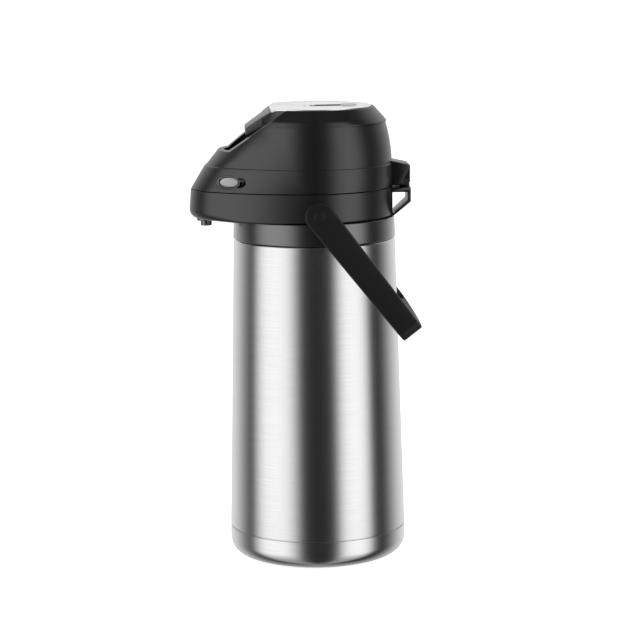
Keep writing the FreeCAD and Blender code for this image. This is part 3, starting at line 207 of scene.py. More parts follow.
def softened(corners, steps=4):
    """A closed outline from (a, b, radius) corners, each rounded by its radius."""
    outline = []
    count = len(corners)
    for i, (a, b, radius) in enumerate(corners):
        here = Vector((a, b))
        if not radius:
            outline.append(here)
            continue
        back = (Vector(corners[i - 1][:2]) - here).normalized()
        ahead = (Vector(corners[(i + 1) % count][:2]) - here).normalized()
        half = back.angle(ahead) / 2
        centre = here + (back + ahead).normalized() * radius / math.sin(half)
        start, stop = here + back * radius / math.tan(half), here + ahead * radius / math.tan(half)
        for j in range(steps + 1):
            spoke = (start - centre).lerp(stop - centre, j / steps)
            outline.append(centre + spoke.normalized() * radius)
    return outline


def turned(corners, centre=(0, 0), segments=160, steps=4):
    """A body of revolution about Z from a closed (radius, height, corner radius) outline."""
    turns = [TAU * i / segments for i in range(segments)]
    rings = []
    for radius, height in softened(corners, steps):
        rings.append([
            Vector((centre[0] + radius * math.cos(turn), centre[1] + radius * math.sin(turn), height))
            for turn in turns])
    return skin(rings, closed=True)


def prism(outline, low, high, place=lambda a, b, c: Vector((a, b, c))):
    """A closed solid over an outline of (a, b) points; place puts (a, b, depth) into the frame."""
    return skin([[place(a, b, depth) for a, b in outline] for depth in (low, high)])


def across(a, b, depth):
    """Outline in side view (Y, Z), depth along X."""
    return Vector((depth, a, b))


def circle_across(x, centre, radius, steps=64):
    """A round loop about a centre, in the plane across X."""
    loop = []
    for i in range(steps):
        turn = TAU * i / steps
        loop.append(Vector((x, centre.y + radius * math.cos(turn), centre.z + radius * math.sin(turn))))
    return loop


# ---------------------------------------------------------------- making pieces
def evaluated(thing):
    """The plain mesh of an object with its modifiers applied."""
    graph = bpy.context.evaluated_depsgraph_get()
    return bpy.data.meshes.new_from_object(thing.evaluated_get(graph))


def loose(name, mesh):
    """An object in the scene for a mesh."""
    thing = bpy.data.objects.new(name, mesh)
    bpy.context.scene.collection.objects.link(thing)
    return thing


def carved(mesh, cutters):
    """The mesh with each cutter's space taken out of it."""
    thing = loose("blank", mesh)
    tools = [loose("cutter", cutter) for cutter in cutters]
    for tool in tools:
        step = thing.modifiers.new("cut", "BOOLEAN")
        step.operation = "DIFFERENCE"
        step.solver = "EXACT"
        step.object = tool
    result = evaluated(thing)
    for gone in [thing] + tools:
        bpy.data.objects.remove(gone)
    return result


def broken_edges(mesh, width, angle=34):
    """The mesh with its sharp edges rounded over by a small width."""
    thing = loose("blank", mesh)
    bevel = thing.modifiers.new("edges", "BEVEL")
    bevel.width = width
    bevel.segments = 2
    bevel.limit_method = "ANGLE"
    bevel.angle_limit = math.radians(angle)
    result = evaluated(thing)
    bpy.data.objects.remove(thing)
    return result


def merged(node):
    """A copy of a frame node's mesh with its doubles merged and its flat faces whole."""
    mesh = NODES[node].data.copy()
    work = bmesh.new()
    work.from_mesh(mesh)
    bmesh.ops.remove_doubles(work, verts=work.verts, dist=2e-6)
    bmesh.ops.dissolve_limit(work, angle_limit=math.radians(0.3), verts=work.verts, edges=work.edges)
    work.to_mesh(mesh)
    work.free()
    return mesh


def joined(meshes):
    """Several meshes as one."""
    work = bmesh.new()
    for mesh in meshes:
        work.from_mesh(mesh)
    result = bpy.data.meshes.new("joined")
    work.to_mesh(result)
    work.free()
    return result


def piece(name, mesh, body, slot, replaced=(), crease=32):
    """A finished piece: smooth-shaded but for its creases, in its slot's finish, riding on a body."""
    mesh.name = name
    mesh.materials.clear()
    mesh.materials.append(FINISHES[slot])
    for face in mesh.polygons:
        face.use_smooth = True
        face.material_index = 0
    mesh.set_sharp_from_angle(angle=math.radians(crease))
    thing = loose(name, mesh)
    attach(thing, body)
    if replaced:
        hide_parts(*replaced)
    return thing


# ---------------------------------------------------------------- shader maths
class Value:
    """A shader socket that can be used in sums."""

    def __init__(self, tree, socket):
        self.tree = tree
        self.socket = socket

    def _math(self, operation, *terms):
        return self.tree.node("ShaderNodeMath", {"operation": operation}, dict(enumerate(terms)))

    def __add__(self, other):
        return self._math("ADD", self, other)

    __radd__ = __add__

    def __sub__(self, other):
        return self._math("SUBTRACT", self, other)

    def __rsub__(self, other):
        return self._math("SUBTRACT", other, self)

    def __mul__(self, other):
        return self._math("MULTIPLY", self, other)

    __rmul__ = __mul__


class Tree:
    """A node tree that is filled one node at a time."""

    def __init__(self, tree):
        self.tree = tree
        tree.nodes.clear()

    def node(self, kind, settings=None, inputs=None, output=0):
        """Adds a node: its settings first, then a value or a link for each named socket."""
        made = self.tree.nodes.new(kind)
        for key, value in (settings or {}).items():
            setattr(made, key, value)
        for key, value in (inputs or {}).items():
            if isinstance(value, Value):
                self.tree.links.new(value.socket, made.inputs[key])
            else:
                made.inputs[key].default_value = value
        return Value(self, made.outputs[output]) if len(made.outputs) else None

    def step(self, value, low, high, to_low=0.0, to_high=1.0):
        """A smooth step of a value from one range to another."""
        return self.node("ShaderNodeMapRange", {"interpolation_type": "SMOOTHSTEP"}, {
            "Value": value, "From Min": low, "From Max": high, "To Min": to_low, "To Max": to_high})


class Finish(Tree):
    """A material with one Principled shader."""

    def __init__(self, name, colour, roughness, **constants):
        self.material = bpy.data.materials.new(name)
        self.material.use_nodes = True
        super().__init__(self.material.node_tree)
        self.surface = self.node("ShaderNodeBsdfPrincipled")
        self.shader = self.surface.socket.node
        self.set("Base Color", tuple(colour) + (1.0,))
        self.set("Roughness", roughness)
        for key, value in constants.items():
            self.set(key.replace("_", " "), value)
        self.node("ShaderNodeOutputMaterial", None, {"Surface": self.surface})

    def set(self, socket, value):
        if isinstance(value, Value):
            self.tree.links.new(value.socket, self.shader.inputs[socket])
        else:
            self.shader.inputs[socket].default_value = value

    def place(self, scale=(1, 1, 1), move=(0, 0, 0)):
        """Object coordinates, scaled for a pattern."""
        point = self.node("ShaderNodeTexCoord", output="Object")
        return self.node("ShaderNodeMapping", None, {"Vector": point, "Scale": scale, "Location": move})

    def noise(self, scale, detail=2.0, roughness=0.5, stretch=(1, 1, 1), move=(0, 0, 0)):
        return self.node("ShaderNodeTexNoise", None, {
            "Vector": self.place(stretch, move), "Scale": scale, "Detail": detail, "Roughness": roughness})

    def between(self, factor, dark, light):
        """A colour between two, by a factor."""
        return self.node("ShaderNodeMix", {"data_type": "RGBA"}, {
            0: factor, 6: tuple(dark) + (1.0,), 7: tuple(light) + (1.0,)}, output=2)

    def bump(self, height, strength, distance):
        self.set("Normal", self.node("ShaderNodeBump", None, {
            "Height": height, "Strength": strength, "Distance": distance}))


def grey(value):
    """A very slightly cool grey."""
    return (value, value, value * 1.01)


def brushed_metal(name, tone, roughness, stretch, lines, anisotropic, spread=0.025):
    """Steel brushed in fine lines: stretch sets their direction, being small along them."""
    finish = Finish(name, grey(tone), roughness, Metallic=1.0, Anisotropic=anisotropic)
    fine = finish.noise(lines, 3.0, 0.55, stretch)
    cloud = finish.noise(9.0, 2.0)
    streaks = finish.step(fine, 0.3, 0.7)
    finish.set("Base Color", finish.between(streaks, grey(tone - spread), grey(tone + spread)))
    finish.set("Roughness", roughness - 0.015 + fine * 0.02 + cloud * 0.01)
    finish.bump(fine, 0.02, 0.00001)
    return finish.material


def moulded_plastic(name, tone, roughness, grain, depth, specular=0.5, coat=0.0):
    """Moulded plastic: a fine even grain, faint flow clouds and a few rubbed places."""
    finish = Finish(name, grey(tone), roughness, Coat_Weight=coat, Coat_Roughness=0.24, Coat_IOR=1.9,
                    Specular_IOR_Level=specular)
    fine = finish.noise(grain, 2.0, 0.6)
    cloud = finish.noise(16.0, 3.0, 0.55)
    rubbed = finish.step(finish.noise(34.0, 4.0, 0.6, (1, 1, 1.8), (0.3, 0.1, 0.2)), 0.55, 0.75)
    finish.set("Base Color", finish.between(cloud, grey(tone * 0.9), grey(tone * 1.12)))
    finish.set("Roughness", roughness - 0.03 + cloud * 0.05 - rubbed * 0.03 + fine * 0.03)
    finish.bump(fine, depth, 0.00004)
    return finish.material


def soft_rubber(name, tone, roughness):
    """Silicone or rubber: matt, with a dusty bloom."""
    finish = Finish(name, grey(tone), roughness, Specular_IOR_Level=0.35)
    bloom = finish.noise(60.0, 4.0, 0.6)
    fine = finish.noise(1400.0, 2.0)
    finish.set("Base Color", finish.between(bloom, grey(tone * 0.85), grey(tone * 1.2)))
    finish.set("Roughness", roughness - 0.08 + bloom * 0.16)
    finish.bump(fine, 0.2, 0.00005)
    return finish.material


def clear_moulding(name):
    """Natural translucent plastic."""
    finish = Finish(name, (0.82, 0.84, 0.84), 0.3, Transmission_Weight=0.6, IOR=1.5)
    cloud = finish.noise(40.0, 3.0)
    finish.set("Roughness", 0.24 + cloud * 0.14)
    finish.bump(cloud, 0.1, 0.0001)
    return finish.material


FINISHES = {
    "brushed_steel": brushed_metal("brushed_steel", 0.72, 0.2, (0.02, 0.02, 1.0), 1500.0, 0.55),
    "plate_steel": brushed_metal("plate_steel", 0.84, 0.2, (1.0, 0.02, 1.0), 1300.0, 0.3, 0.03),
    "inner_steel": brushed_metal("inner_steel", 0.6, 0.28, (0.05, 0.05, 1.0), 700.0, 0.3),
    "black_plastic": moulded_plastic("black_plastic", 0.005, 0.33, 1500.0, 0.2, 0.9),
    "bail_plastic": moulded_plastic("bail_plastic", 0.007, 0.42, 1100.0, 0.2, 0.5),
    "gloss_black": moulded_plastic("gloss_black", 0.01, 0.28, 600.0, 0.05, 1.0, 1.0),
    "button_grey": moulded_plastic("button_grey", 0.36, 0.42, 1300.0, 0.2),
    "grey_plastic": moulded_plastic("grey_plastic", 0.5, 0.45, 900.0, 0.2),
    "clear_plastic": clear_moulding("clear_plastic"),
    "silicone": soft_rubber("silicone", 0.6, 0.55),
    "rubber": soft_rubber("rubber", 0.035, 0.65),
    "hardware": brushed_metal("hardware", 0.7, 0.22, (1.0, 1.0, 0.3), 500.0, 0.0),
}
for node, thing in NODES.items():
    thing.data.materials.clear()
    thing.data.materials.append(FINISHES[SLOT_OF[node]])


# ---------------------------------------------------------------- steel body
def make_outer_shell():
    """The tapering steel tube, shouldered in under the collar."""
    wall, shoulder = 0.8 * MM, 13 * MM
    low, top, neck = 78.0 * MM, 71.2 * MM, 37.0 * MM
    neck_top = level("outer_shell", 1)
    mesh = turned([
        (low, SHELL_LOW, 0.3 * MM),
        (top, SHELL_TOP, 3.0 * MM),
        (neck, SHELL_TOP + shoulder, 2.0 * MM),
        (neck, neck_top, 0.2 * MM),
        (neck - wall, neck_top, 0.2 * MM),
        (neck - wall, SHELL_TOP + 12 * MM, 1.0 * MM),
        (top - wall, SHELL_TOP - wall, 2.2 * MM),
        (low - wall, SHELL_LOW, 0.3 * MM),
    ], segments=220)
    piece("outer_shell_body", mesh, "root", "brushed_steel", ["outer_shell"])


def make_base():
    """The drawn base cup, with its seam turned in under the body."""
    wall, pole, radius, lip = 0.8 * MM, 1.0 * MM, 78.0 * MM, 76.8 * MM
    corner = 14.0 * MM
    spigot_top = level("base_cup", 1)
    mesh = turned([
        (pole, BASE_LOW, 0),
        (radius, BASE_LOW, corner),
        (radius, BASE_TOP, 0.5 * MM),
        (lip, BASE_TOP, 0),
        (lip, spigot_top, 0),
        (lip - wall, spigot_top, 0),
        (lip - wall, BASE_TOP - wall, 0),
        (radius - wall, BASE_TOP - wall, 0),
        (radius - wall, BASE_LOW + wall, corner - wall),
        (pole, BASE_LOW + wall, 0),
    ], segments=220, steps=12)
    piece("base_cup_steel", mesh, "root", "brushed_steel", ["base_cup"])


def make_collar():
    """The black ring between the body and the head."""
    low_out, top_out = 71.6 * MM, 70.8 * MM
    inner, neck, roof = 68.0 * MM, 39.0 * MM, 3 * MM
    mesh = turned([
        (low_out, COLLAR_LOW, 0.7 * MM),
        (top_out, COLLAR_TOP, 0.9 * MM),
        (neck, COLLAR_TOP, 0.3 * MM),
        (neck, COLLAR_TOP - roof, 0.3 * MM),
        (inner, COLLAR_TOP - roof, 0.5 * MM),
        (inner, COLLAR_LOW + 1.8 * MM, 0.3 * MM),
    ], segments=200)
    piece("collar_ring", mesh, "root", "gloss_black", ["collar"])


# ---------------------------------------------------------------- head
def side_disc(radius, start, stop, edge):
    """A round boss along X at the bail's pivot, with its outer edge rounded."""
    far, near = max(start, stop, key=abs), min(start, stop, key=abs)
    turn_edge = math.copysign(edge, far)
    profile = [(near, radius)]
    for i in range(4):
        turn = math.pi / 2 * i / 3
        profile.append((far - turn_edge * (1 - math.sin(turn)), radius - edge * (1 - math.cos(turn))))
    return skin([circle_across(x, PIVOT, size) for x, size in profile])


def make_head_base():
    """The open teardrop tray of the head, rounded underneath, with a pivot boss on each flank."""
    wall, floor, rim = 2.6 * MM, 3.0 * MM, 0.5 * MM
    outside = []
    flank_edge = rounded_edge(HEAD, HEAD_LOW, 2.2 * MM, True, 8)
    nose_edge = rounded_edge(HEAD, HEAD_LOW, 8.0 * MM, True, 8)
    for at_flank, at_nose in zip(flank_edge, nose_edge):
        outside.append([a.lerp(b, eased(-a.y, 62 * MM, 98 * MM)) for a, b in zip(at_flank, at_nose)])
    outside += teardrop_rings(HEAD, HEAD_LOW + 8.6 * MM, HEAD_TOP - rim - 0.2 * MM, 6)
    outside += rounded_edge(HEAD, HEAD_TOP, rim, False, 3)
    inside = teardrop_rings(HEAD, HEAD_TOP, HEAD_LOW + floor, 6, wall)
    pieces = [skin(outside + inside)]
    for sign in (1, -1):
        pieces.append(side_disc(7.6 * MM, sign * 66 * MM, sign * 73.6 * MM, 0.5 * MM))
    piece("head_tray", joined(pieces), "root", "black_plastic", ["head_base"])


def make_nozzle():
    """The spout's short tube below its flange, lipped at its mouth."""
    low, flange = level("nozzle", 0), HEAD_LOW - 2.9 * MM
    bore, tube, wide, plug = 3.2 * MM, 5.0 * MM, 8.3 * MM, 6.5 * MM
    plug_top = HEAD_LOW + 6 * MM
    mesh = turned([
        (bore, low, 0.3 * MM),
        (tube, low, 0.5 * MM),
        (tube, flange, 0.2 * MM),
        (wide, flange, 0.9 * MM),
        (wide, HEAD_LOW, 0.1 * MM),
        (plug, HEAD_LOW, 0),
        (plug, plug_top, 0),
        (bore, plug_top, 0),
    ], (0, SPOUT_Y), 72)
    piece("spout_nozzle", mesh, "root", "gloss_black", ["nozzle"])


# ---------------------------------------------------------------- lid
def slope_cutter():
    """The space above the lid's level shelf and its slope."""
    front, back, wide = -140 * MM, -10 * MM, 90 * MM
    rise = (back - SLOPE_LOW_Y) * math.tan(SLOPE_ANGLE)
    top = CAP_TOP + 60 * MM
    outline = [(front, SHELF), (SLOPE_LOW_Y, SHELF), (back, SHELF + rise), (back, top), (front, top)]
    return prism(outline, -wide, wide, across)


def tongue_slot(low, high):
    """The round-fronted slot that the lever's tongue dips into."""
    half, centre, back, steps = 27 * MM, (27 - 78.5) * MM, -38 * MM, 40
    outline = [(half, back), (-half, back)]
    for i in range(steps + 1):
        turn = math.pi + math.pi * i / steps
        outline.append((half * math.cos(turn), centre + half * math.sin(turn)))
    return prism(outline, low, high)


def plate_hole(low, high):
    """The round opening that the pump plate moves in."""
    radius, steps = PLATE_RADIUS + 0.8 * MM, 160
    turns = [TAU * i / steps for i in range(steps)]
    return prism([(radius * math.cos(turn), radius * math.sin(turn)) for turn in turns], low, high)


BUTTON_TURN = math.radians(22.0)
BUTTON = {
    "right": Vector((41.9 * MM, -75.5 * MM, HEAD_TOP + 9.1 * MM)),
    "left": Vector((-41.9 * MM, -75.5 * MM, HEAD_TOP + 9.1 * MM)),
}


def on_flank(side):
    """Turns (out, along, up) about a release button's centre into the frame; out is away from the lid."""
    sign = 1 if side == "right" else -1
    out = Vector((sign * math.cos(BUTTON_TURN), -math.sin(BUTTON_TURN), 0))
    along = Vector((sign * math.sin(BUTTON_TURN), math.cos(BUTTON_TURN), 0))

    def place(a, b, depth):
        return BUTTON[side] + along * a + Vector((0, 0, b)) + out * depth
    return place


def oval(length, width, steps=56):
    """An ellipse about the origin, long along its first direction."""
    turns = [TAU * i / steps for i in range(steps)]
    return [(length / 2 * math.cos(turn), width / 2 * math.sin(turn)) for turn in turns]


def button_well(side):
    """The space of a release button's well."""
    deep = 8 * MM
    return prism(oval(21.4 * MM, 11.6 * MM), -deep, deep, on_flank(side))


def button_scoop(side):
    """A small hollow behind the button, for a fingertip."""
    place = on_flank(side)
    centre, along, up, deep = 12.2 * MM, 6.6 * MM, 4.6 * MM, 2.8 * MM
    seat = place(centre, 0, 0)
    loop = teardrop(seat.z, *section_at(BAND, seat.z))
    flank = min(loop, key=lambda point: (point - seat).length)
    rings = []
    levels, steps = 12, 32
    for i in range(1, levels):
        turn = math.pi * i / levels
        size, out = math.sin(turn), -math.cos(turn)
        rings.append([
            flank - seat + place(centre + along * size * math.cos(TAU * j / steps),
                                 up * size * math.sin(TAU * j / steps), deep * out)
            for j in range(steps)])
    return skin(rings)


def make_lid_shell():
    """The lid's band and dome in one wall, cut away along the slope, with hinge ears at the rear."""
    wall = 2.5 * MM
    outside = rounded_edge(BAND, LID_LOW, 0.5 * MM, True, 3)
    outside += teardrop_rings(BAND, LID_LOW + 0.9 * MM, BAND_TOP - 0.3 * MM, 14)
    outside += teardrop_rings(DOME, BAND_TOP + 0.05 * MM, DOME_TOP, 34)
    inside = teardrop_rings(DOME, DOME_TOP, BAND_TOP, 12, wall)
    inside += teardrop_rings(BAND, BAND_TOP - 0.5 * MM, LID_LOW, 6, wall)
    ring = skin(outside + inside, closed=True)
    cutters = [slope_cutter()]
    for side in BUTTON:
        cutters += [button_well(side), button_scoop(side)]
    shell = carved(ring, cutters)
    shell = joined([broken_edges(shell, 0.45 * MM), hinge_ears()])
    piece("lid_dome", shell, "lid", "black_plastic", ["lid_shell"])


def hinge_ears():
    """The lid's hinge block: two ears either side of the bracket's knuckle, one web above it."""
    ear, front, half, steps = 3.7 * MM, 66 * MM, 16 * MM, 6
    rear, top = HINGE.y + 3.9 * MM, HINGE.z + 14.2 * MM
    turns = [math.pi / 2 * i / steps for i in range(steps)]
    side = [(front, HINGE.z - ear)]
    side += [(HINGE.y + ear * math.sin(turn), HINGE.z - ear * math.cos(turn)) for turn in turns]
    side += [(rear, HINGE.z), (rear, top), (front, HINGE.z + 18.2 * MM)]
    block = prism(side, -half, half, across)
    slot_front, slot_rear, slot_half = 70.5 * MM, rear + 20 * MM, 7.4 * MM
    slot_low, slot_top = LID_LOW - 5 * MM, HINGE.z + 5.6 * MM
    slot_side = [
        (slot_front, slot_low), (slot_rear, slot_low), (slot_rear, slot_top), (slot_front, slot_top)]
    slot = prism(slot_side, -slot_half, slot_half, across)
    pin = skin([circle_across(x, HINGE, 2.0 * MM, 32) for x in (-30 * MM, 30 * MM)])
    return broken_edges(carved(block, [slot, pin]), 0.7 * MM)


def make_lid_cap():
    """The bevelled ring round the pump plate: flush with the dome in front, lipped at the rear."""
    lip, edge, blend = 1.3 * MM, 0.8 * MM, 4.0 * MM
    outside = rounded_edge(CAP, DOME_TOP, lip, True, 6)
    outside += teardrop_rings(CAP, DOME_TOP + lip + 0.3 * MM, CAP_TOP - edge - 0.3 * MM, 12)
    outside += rounded_edge(CAP, CAP_TOP, edge, False, 4)
    below = teardrop(DOME_TOP, *section_at(DOME, DOME_TOP))
    above = teardrop(DOME_TOP + blend, *section_at(CAP, DOME_TOP + blend))
    for ring in outside:
        share = (ring[0].z - DOME_TOP) / blend
        if share < 1:
            flush = [low.lerp(high, share) for low, high in zip(below, above)]
            ring[:] = [near.lerp(far, eased(far.y, 14 * MM, 52 * MM)) for near, far in zip(flush, ring)]
    under, over = DOME_TOP - MM, CAP_TOP + MM
    ring = carved(skin(outside), [plate_hole(under, over), tongue_slot(under, over), slope_cutter()])
    piece("lid_crown", broken_edges(ring, 0.35 * MM, 40), "lid", "black_plastic", ["lid_cap"])


def make_front_panel():
    """The slope's panel with the tongue's slot, its rim a thin raised lip."""
    panel = broken_edges(merged("front_panel"), 0.4 * MM)
    piece("slope_panel", panel, "lid", "black_plastic", ["front_panel"], 40)
    tray = broken_edges(merged("finger_well"), 0.3 * MM)
    piece("finger_tray", tray, "lid", "gloss_black", ["finger_well"], 40)


# ---------------------------------------------------------------- lever, lock and buttons
def make_lever():
    """The steel pump plate and the black lever under it."""
    plate = broken_edges(merged("lever_plate"), 0.25 * MM)
    piece("pump_plate_steel", plate, "lever", "plate_steel", ["lever_plate"], 30)
    lever = broken_edges(merged("pump_lever"), 0.5 * MM)
    piece("pump_lever_moulding", lever, "lever", "black_plastic", ["pump_lever"], 30)


def size_tree(name, sizes):
    """A geometry tree with an input for each size, a count and a finish, and those inputs' identifiers."""
    tree = bpy.data.node_groups.new(name, "GeometryNodeTree")
    inputs = [(label, "NodeSocketFloat") for label in sizes]
    inputs += [("Count", "NodeSocketInt"), ("Finish", "NodeSocketMaterial")]
    names = {}
    for label, kind in inputs:
        socket = tree.interface.new_socket(label, in_out="INPUT", socket_type=kind)
        names[label] = socket.identifier
        if label in sizes:
            socket.default_value = sizes[label]
    tree.interface.new_socket("Geometry", in_out="OUTPUT", socket_type="NodeSocketGeometry")
    graph = Tree(tree)
    given = graph.node("NodeGroupInput").socket.node
    take = {socket.name: Value(graph, socket) for socket in given.outputs if socket.name}
    return graph, take, names


def finished(graph, take, row):
    """Ends a geometry tree: its row of copies made real, in the finish that was asked for."""
    real = graph.node("GeometryNodeRealizeInstances", None, {0: row})
    done = graph.node("GeometryNodeSetMaterial", None, {"Geometry": real, "Material": take["Finish"]})
    graph.node("NodeGroupOutput", None, {0: done})
    return graph.tree


def ridge_tree():
    """Geometry nodes: thin rounded ridges repeated along Y on a thumb piece."""
    graph, take, names = size_tree("thumb_ridges", {
        "Ridge Width": 8.0 * MM, "Ridge Radius": 0.35 * MM, "Spacing": 1.8 * MM})
    offset = graph.node("ShaderNodeCombineXYZ", None, {"Y": take["Spacing"]})
    line = graph.node("GeometryNodeMeshLine", None, {"Count": take["Count"], "Offset": offset})
    rod = graph.node("GeometryNodeMeshCylinder", None, {
        "Vertices": 16, "Radius": take["Ridge Radius"], "Depth": take["Ridge Width"]})
    turn = graph.node("FunctionNodeEulerToRotation", None, {0: (0, math.pi / 2, 0)})
    row = graph.node("GeometryNodeInstanceOnPoints", None, {
        "Points": line, "Instance": rod, "Rotation": turn})
    return finished(graph, take, row), names


def grown(tree, names, values, shift):
    """The plain mesh that a geometry tree makes for these input values, moved into place."""
    thing = loose("grower", bpy.data.meshes.new("empty"))
    maker = thing.modifiers.new("maker", "NODES")
    maker.node_group = tree
    for name, value in values.items():
        maker[names[name]] = value
    mesh = evaluated(thing)
    bpy.data.objects.remove(thing)
    mesh.transform(Matrix.Translation(shift))
    return mesh


def make_lock():
    """The lock's thumb piece with its ridges."""
    low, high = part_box("lock_slider")
    tree, names = ridge_tree()
    count, spacing, sunk = 4, 1.9 * MM, 0.1 * MM
    centre = (low + high) / 2
    start = Vector((0, centre.y - spacing * (count - 1) / 2, high.z - sunk))
    ridges = grown(tree, names, {
        "Count": count, "Spacing": spacing, "Ridge Width": 8.4 * MM, "Ridge Radius": 0.3 * MM,
        "Finish": FINISHES["grey_plastic"]}, start)
    slider = broken_edges(merged("lock_slider"), 0.5 * MM)
    piece("lock_thumb", joined([slider, ridges]), "lock", "grey_plastic", ["lock_slider"])


def button_face(place):
    """The crowned oval cap of a release button."""
    length, width = 17.4 * MM, 8.4 * MM
    face, back, edge, steps = -0.9 * MM, -3.5 * MM, 0.9 * MM, 4
    levels = [(back, 0.0), (face - edge, 0.0)]
    for i in range(1, steps + 1):
        turn = math.pi / 2 * i / steps
        levels.append((face - edge * (1 - math.sin(turn)), edge * (1 - math.cos(turn))))
    levels += [(face + 0.12 * MM, 1.8 * MM), (face + 0.18 * MM, 3.0 * MM)]
    return skin([
        [place(a, b, depth) for a, b in oval(length - 2 * inset, width - 2 * inset)]
        for depth, inset in levels])


def button_liner(place):
    """The thin dark ring that lines a release button's well."""
    length, width = 21.2, 11.4
    section = ((0, -5.0), (0, -0.5), (0.35, -0.15), (0.75, -0.15), (1.1, -0.5), (1.1, -5.0))
    return skin([
        [place(a, b, depth * MM) for a, b in oval((length - 2 * inset) * MM, (width - 2 * inset) * MM)]
        for inset, depth in section], closed=True)


def make_buttons():
    """Oval release buttons on their stems, each in its liner."""
    wide, below_face = 40 * MM, -3.0 * MM
    square = [(-wide, -wide), (wide, -wide), (wide, wide), (-wide, wide)]
    for side in BUTTON:
        place = on_flank(side)
        stem = carved(merged("button_" + side), [prism(square, below_face, 20 * MM, place)])
        button = joined([button_face(place), stem])
        piece("release_button_" + side, button, "press_" + side, "button_grey", ["button_" + side])
        piece("button_liner_" + side, button_liner(place), "lid", "gloss_black")


# ---------------------------------------------------------------- bail
BAIL_THICK, BAIL_LENGTH = 4.4 * MM, 130.9 * MM
BAIL_ROOT, BAIL_TIP = 25.0 * MM, 20.0 * MM  # the strap's width at the eyes and at the grip
BAIL_DROOP = math.radians(52.5)


def bail_path():
    """The middle line of the strap in plan, from one eye's tip round the bowed grip to the other's."""
    outer, corner, bulge = 79.0 * MM, 9.0 * MM, 6.4 * MM
    arm_steps, bend_steps, bow_steps = 24, 12, 30
    arm_x = outer - BAIL_THICK / 2
    grip = BAIL_LENGTH - 0.15 * bulge
    radius = (outer ** 2 + bulge ** 2) / (2 * bulge)
    bow_centre = grip + bulge - radius
    path = []
    for i in range(arm_steps + 1):
        turn = math.pi / 2 * (i / arm_steps)
        path.append(Vector((arm_x, -BAIL_ROOT / 2 * math.cos(turn))))
    for i in range(1, arm_steps + 1):
        path.append(Vector((arm_x, (grip - corner - 2 * MM) * i / arm_steps)))
    bow_radius = radius - BAIL_THICK / 2
    bend = corner - BAIL_THICK / 2
    bend_x = arm_x - bend
    bend_y = bow_centre + math.sqrt((bow_radius - bend) ** 2 - bend_x ** 2)
    stop_turn = math.atan2(bend_y - bow_centre, bend_x)
    for i in range(bend_steps + 1):
        turn = stop_turn * i / bend_steps
        path.append(Vector((bend_x + bend * math.cos(turn), bend_y + bend * math.sin(turn))))
    for i in range(1, bow_steps + 1):
        turn = stop_turn + (math.pi / 2 - stop_turn) * i / bow_steps
        path.append(Vector((bow_radius * math.cos(turn), bow_centre + bow_radius * math.sin(turn))))
    return path + [Vector((-point.x, point.y)) for point in reversed(path[:-1])]


def bail_section(along):
    """The strap's cross-section: round at the eyes, narrowing towards the grip."""
    if along < 0:
        half = math.sqrt(max((BAIL_ROOT / 2) ** 2 - along ** 2, 0.0))
    else:
        half = BAIL_ROOT / 2 - (BAIL_ROOT - BAIL_TIP) / 2 * min(along / BAIL_LENGTH, 1.0)
    half, thin = max(half, 0.02 * MM), BAIL_THICK / 2
    soft = min(1.5 * MM, half * 0.8)
    return softened([(thin, half, soft), (-thin, half, soft), (-thin, -half, soft), (thin, -half, soft)], 5)


def make_bail():
    """A flat strap bent to a U with a bowed grip; the arms taper from round eyes, every edge rounded."""
    path = bail_path()
    tilt = Matrix.Rotation(-BAIL_DROOP, 4, "X")
    rings = []
    for i, point in enumerate(path):
        before, after = path[max(i - 1, 0)], path[min(i + 1, len(path) - 1)]
        ahead = (after - before).normalized()
        side = Vector((ahead.y, -ahead.x))
        ring = []
        for a, b in bail_section(point.y):
            flat = point + side * a
            ring.append(PIVOT + tilt @ Vector((flat.x, flat.y, b)))
        rings.append(ring)
    strap = piece("bail_strap", skin(rings), "bail", "bail_plastic", ["bail_handle"], 50)
    strap.visible_glossy = False  # kept out of the steel's reflections


def make_bail_screws():
    """Low domed pivot caps on the bail's eyes, on their shanks."""
    meshes = []
    for sign in (1, -1):
        shank = side_disc(4.45 * MM, sign * 63.3 * MM, sign * 79.3 * MM, 0.2 * MM)
        head = side_disc(4.7 * MM, sign * 79.1 * MM, sign * 79.7 * MM, 0.5 * MM)
        meshes += [shank, head]
    caps = piece("bail_pivot_caps", joined(meshes), "root", "bail_plastic", ["bail_screws"])
    caps.visible_glossy = False


# ---------------------------------------------------------------- small parts
def make_bracket():
    """The rear loop bracket that carries the hinge's knuckle."""
    bracket = broken_edges(merged("hinge_bracket"), 0.3 * MM)
    piece("rear_bracket", bracket, "root", "black_plastic", ["hinge_bracket"], 40)


def stud_tree():
    """Geometry nodes: small round studs set on a ring, as on a rubber foot."""
    graph, take, names = size_tree("foot_studs", {
        "Ring Radius": 40.0 * MM, "Stud Radius": 1.6 * MM, "Stud Height": 0.6 * MM})
    ring = graph.node("GeometryNodeMeshCircle", None, {
        "Vertices": take["Count"], "Radius": take["Ring Radius"]})
    stud = graph.node("GeometryNodeMeshCylinder", None, {
        "Vertices": 20, "Radius": take["Stud Radius"], "Depth": take["Stud Height"]})
    row = graph.node("GeometryNodeInstanceOnPoints", None, {"Points": ring, "Instance": stud})
    return finished(graph, take, row), names


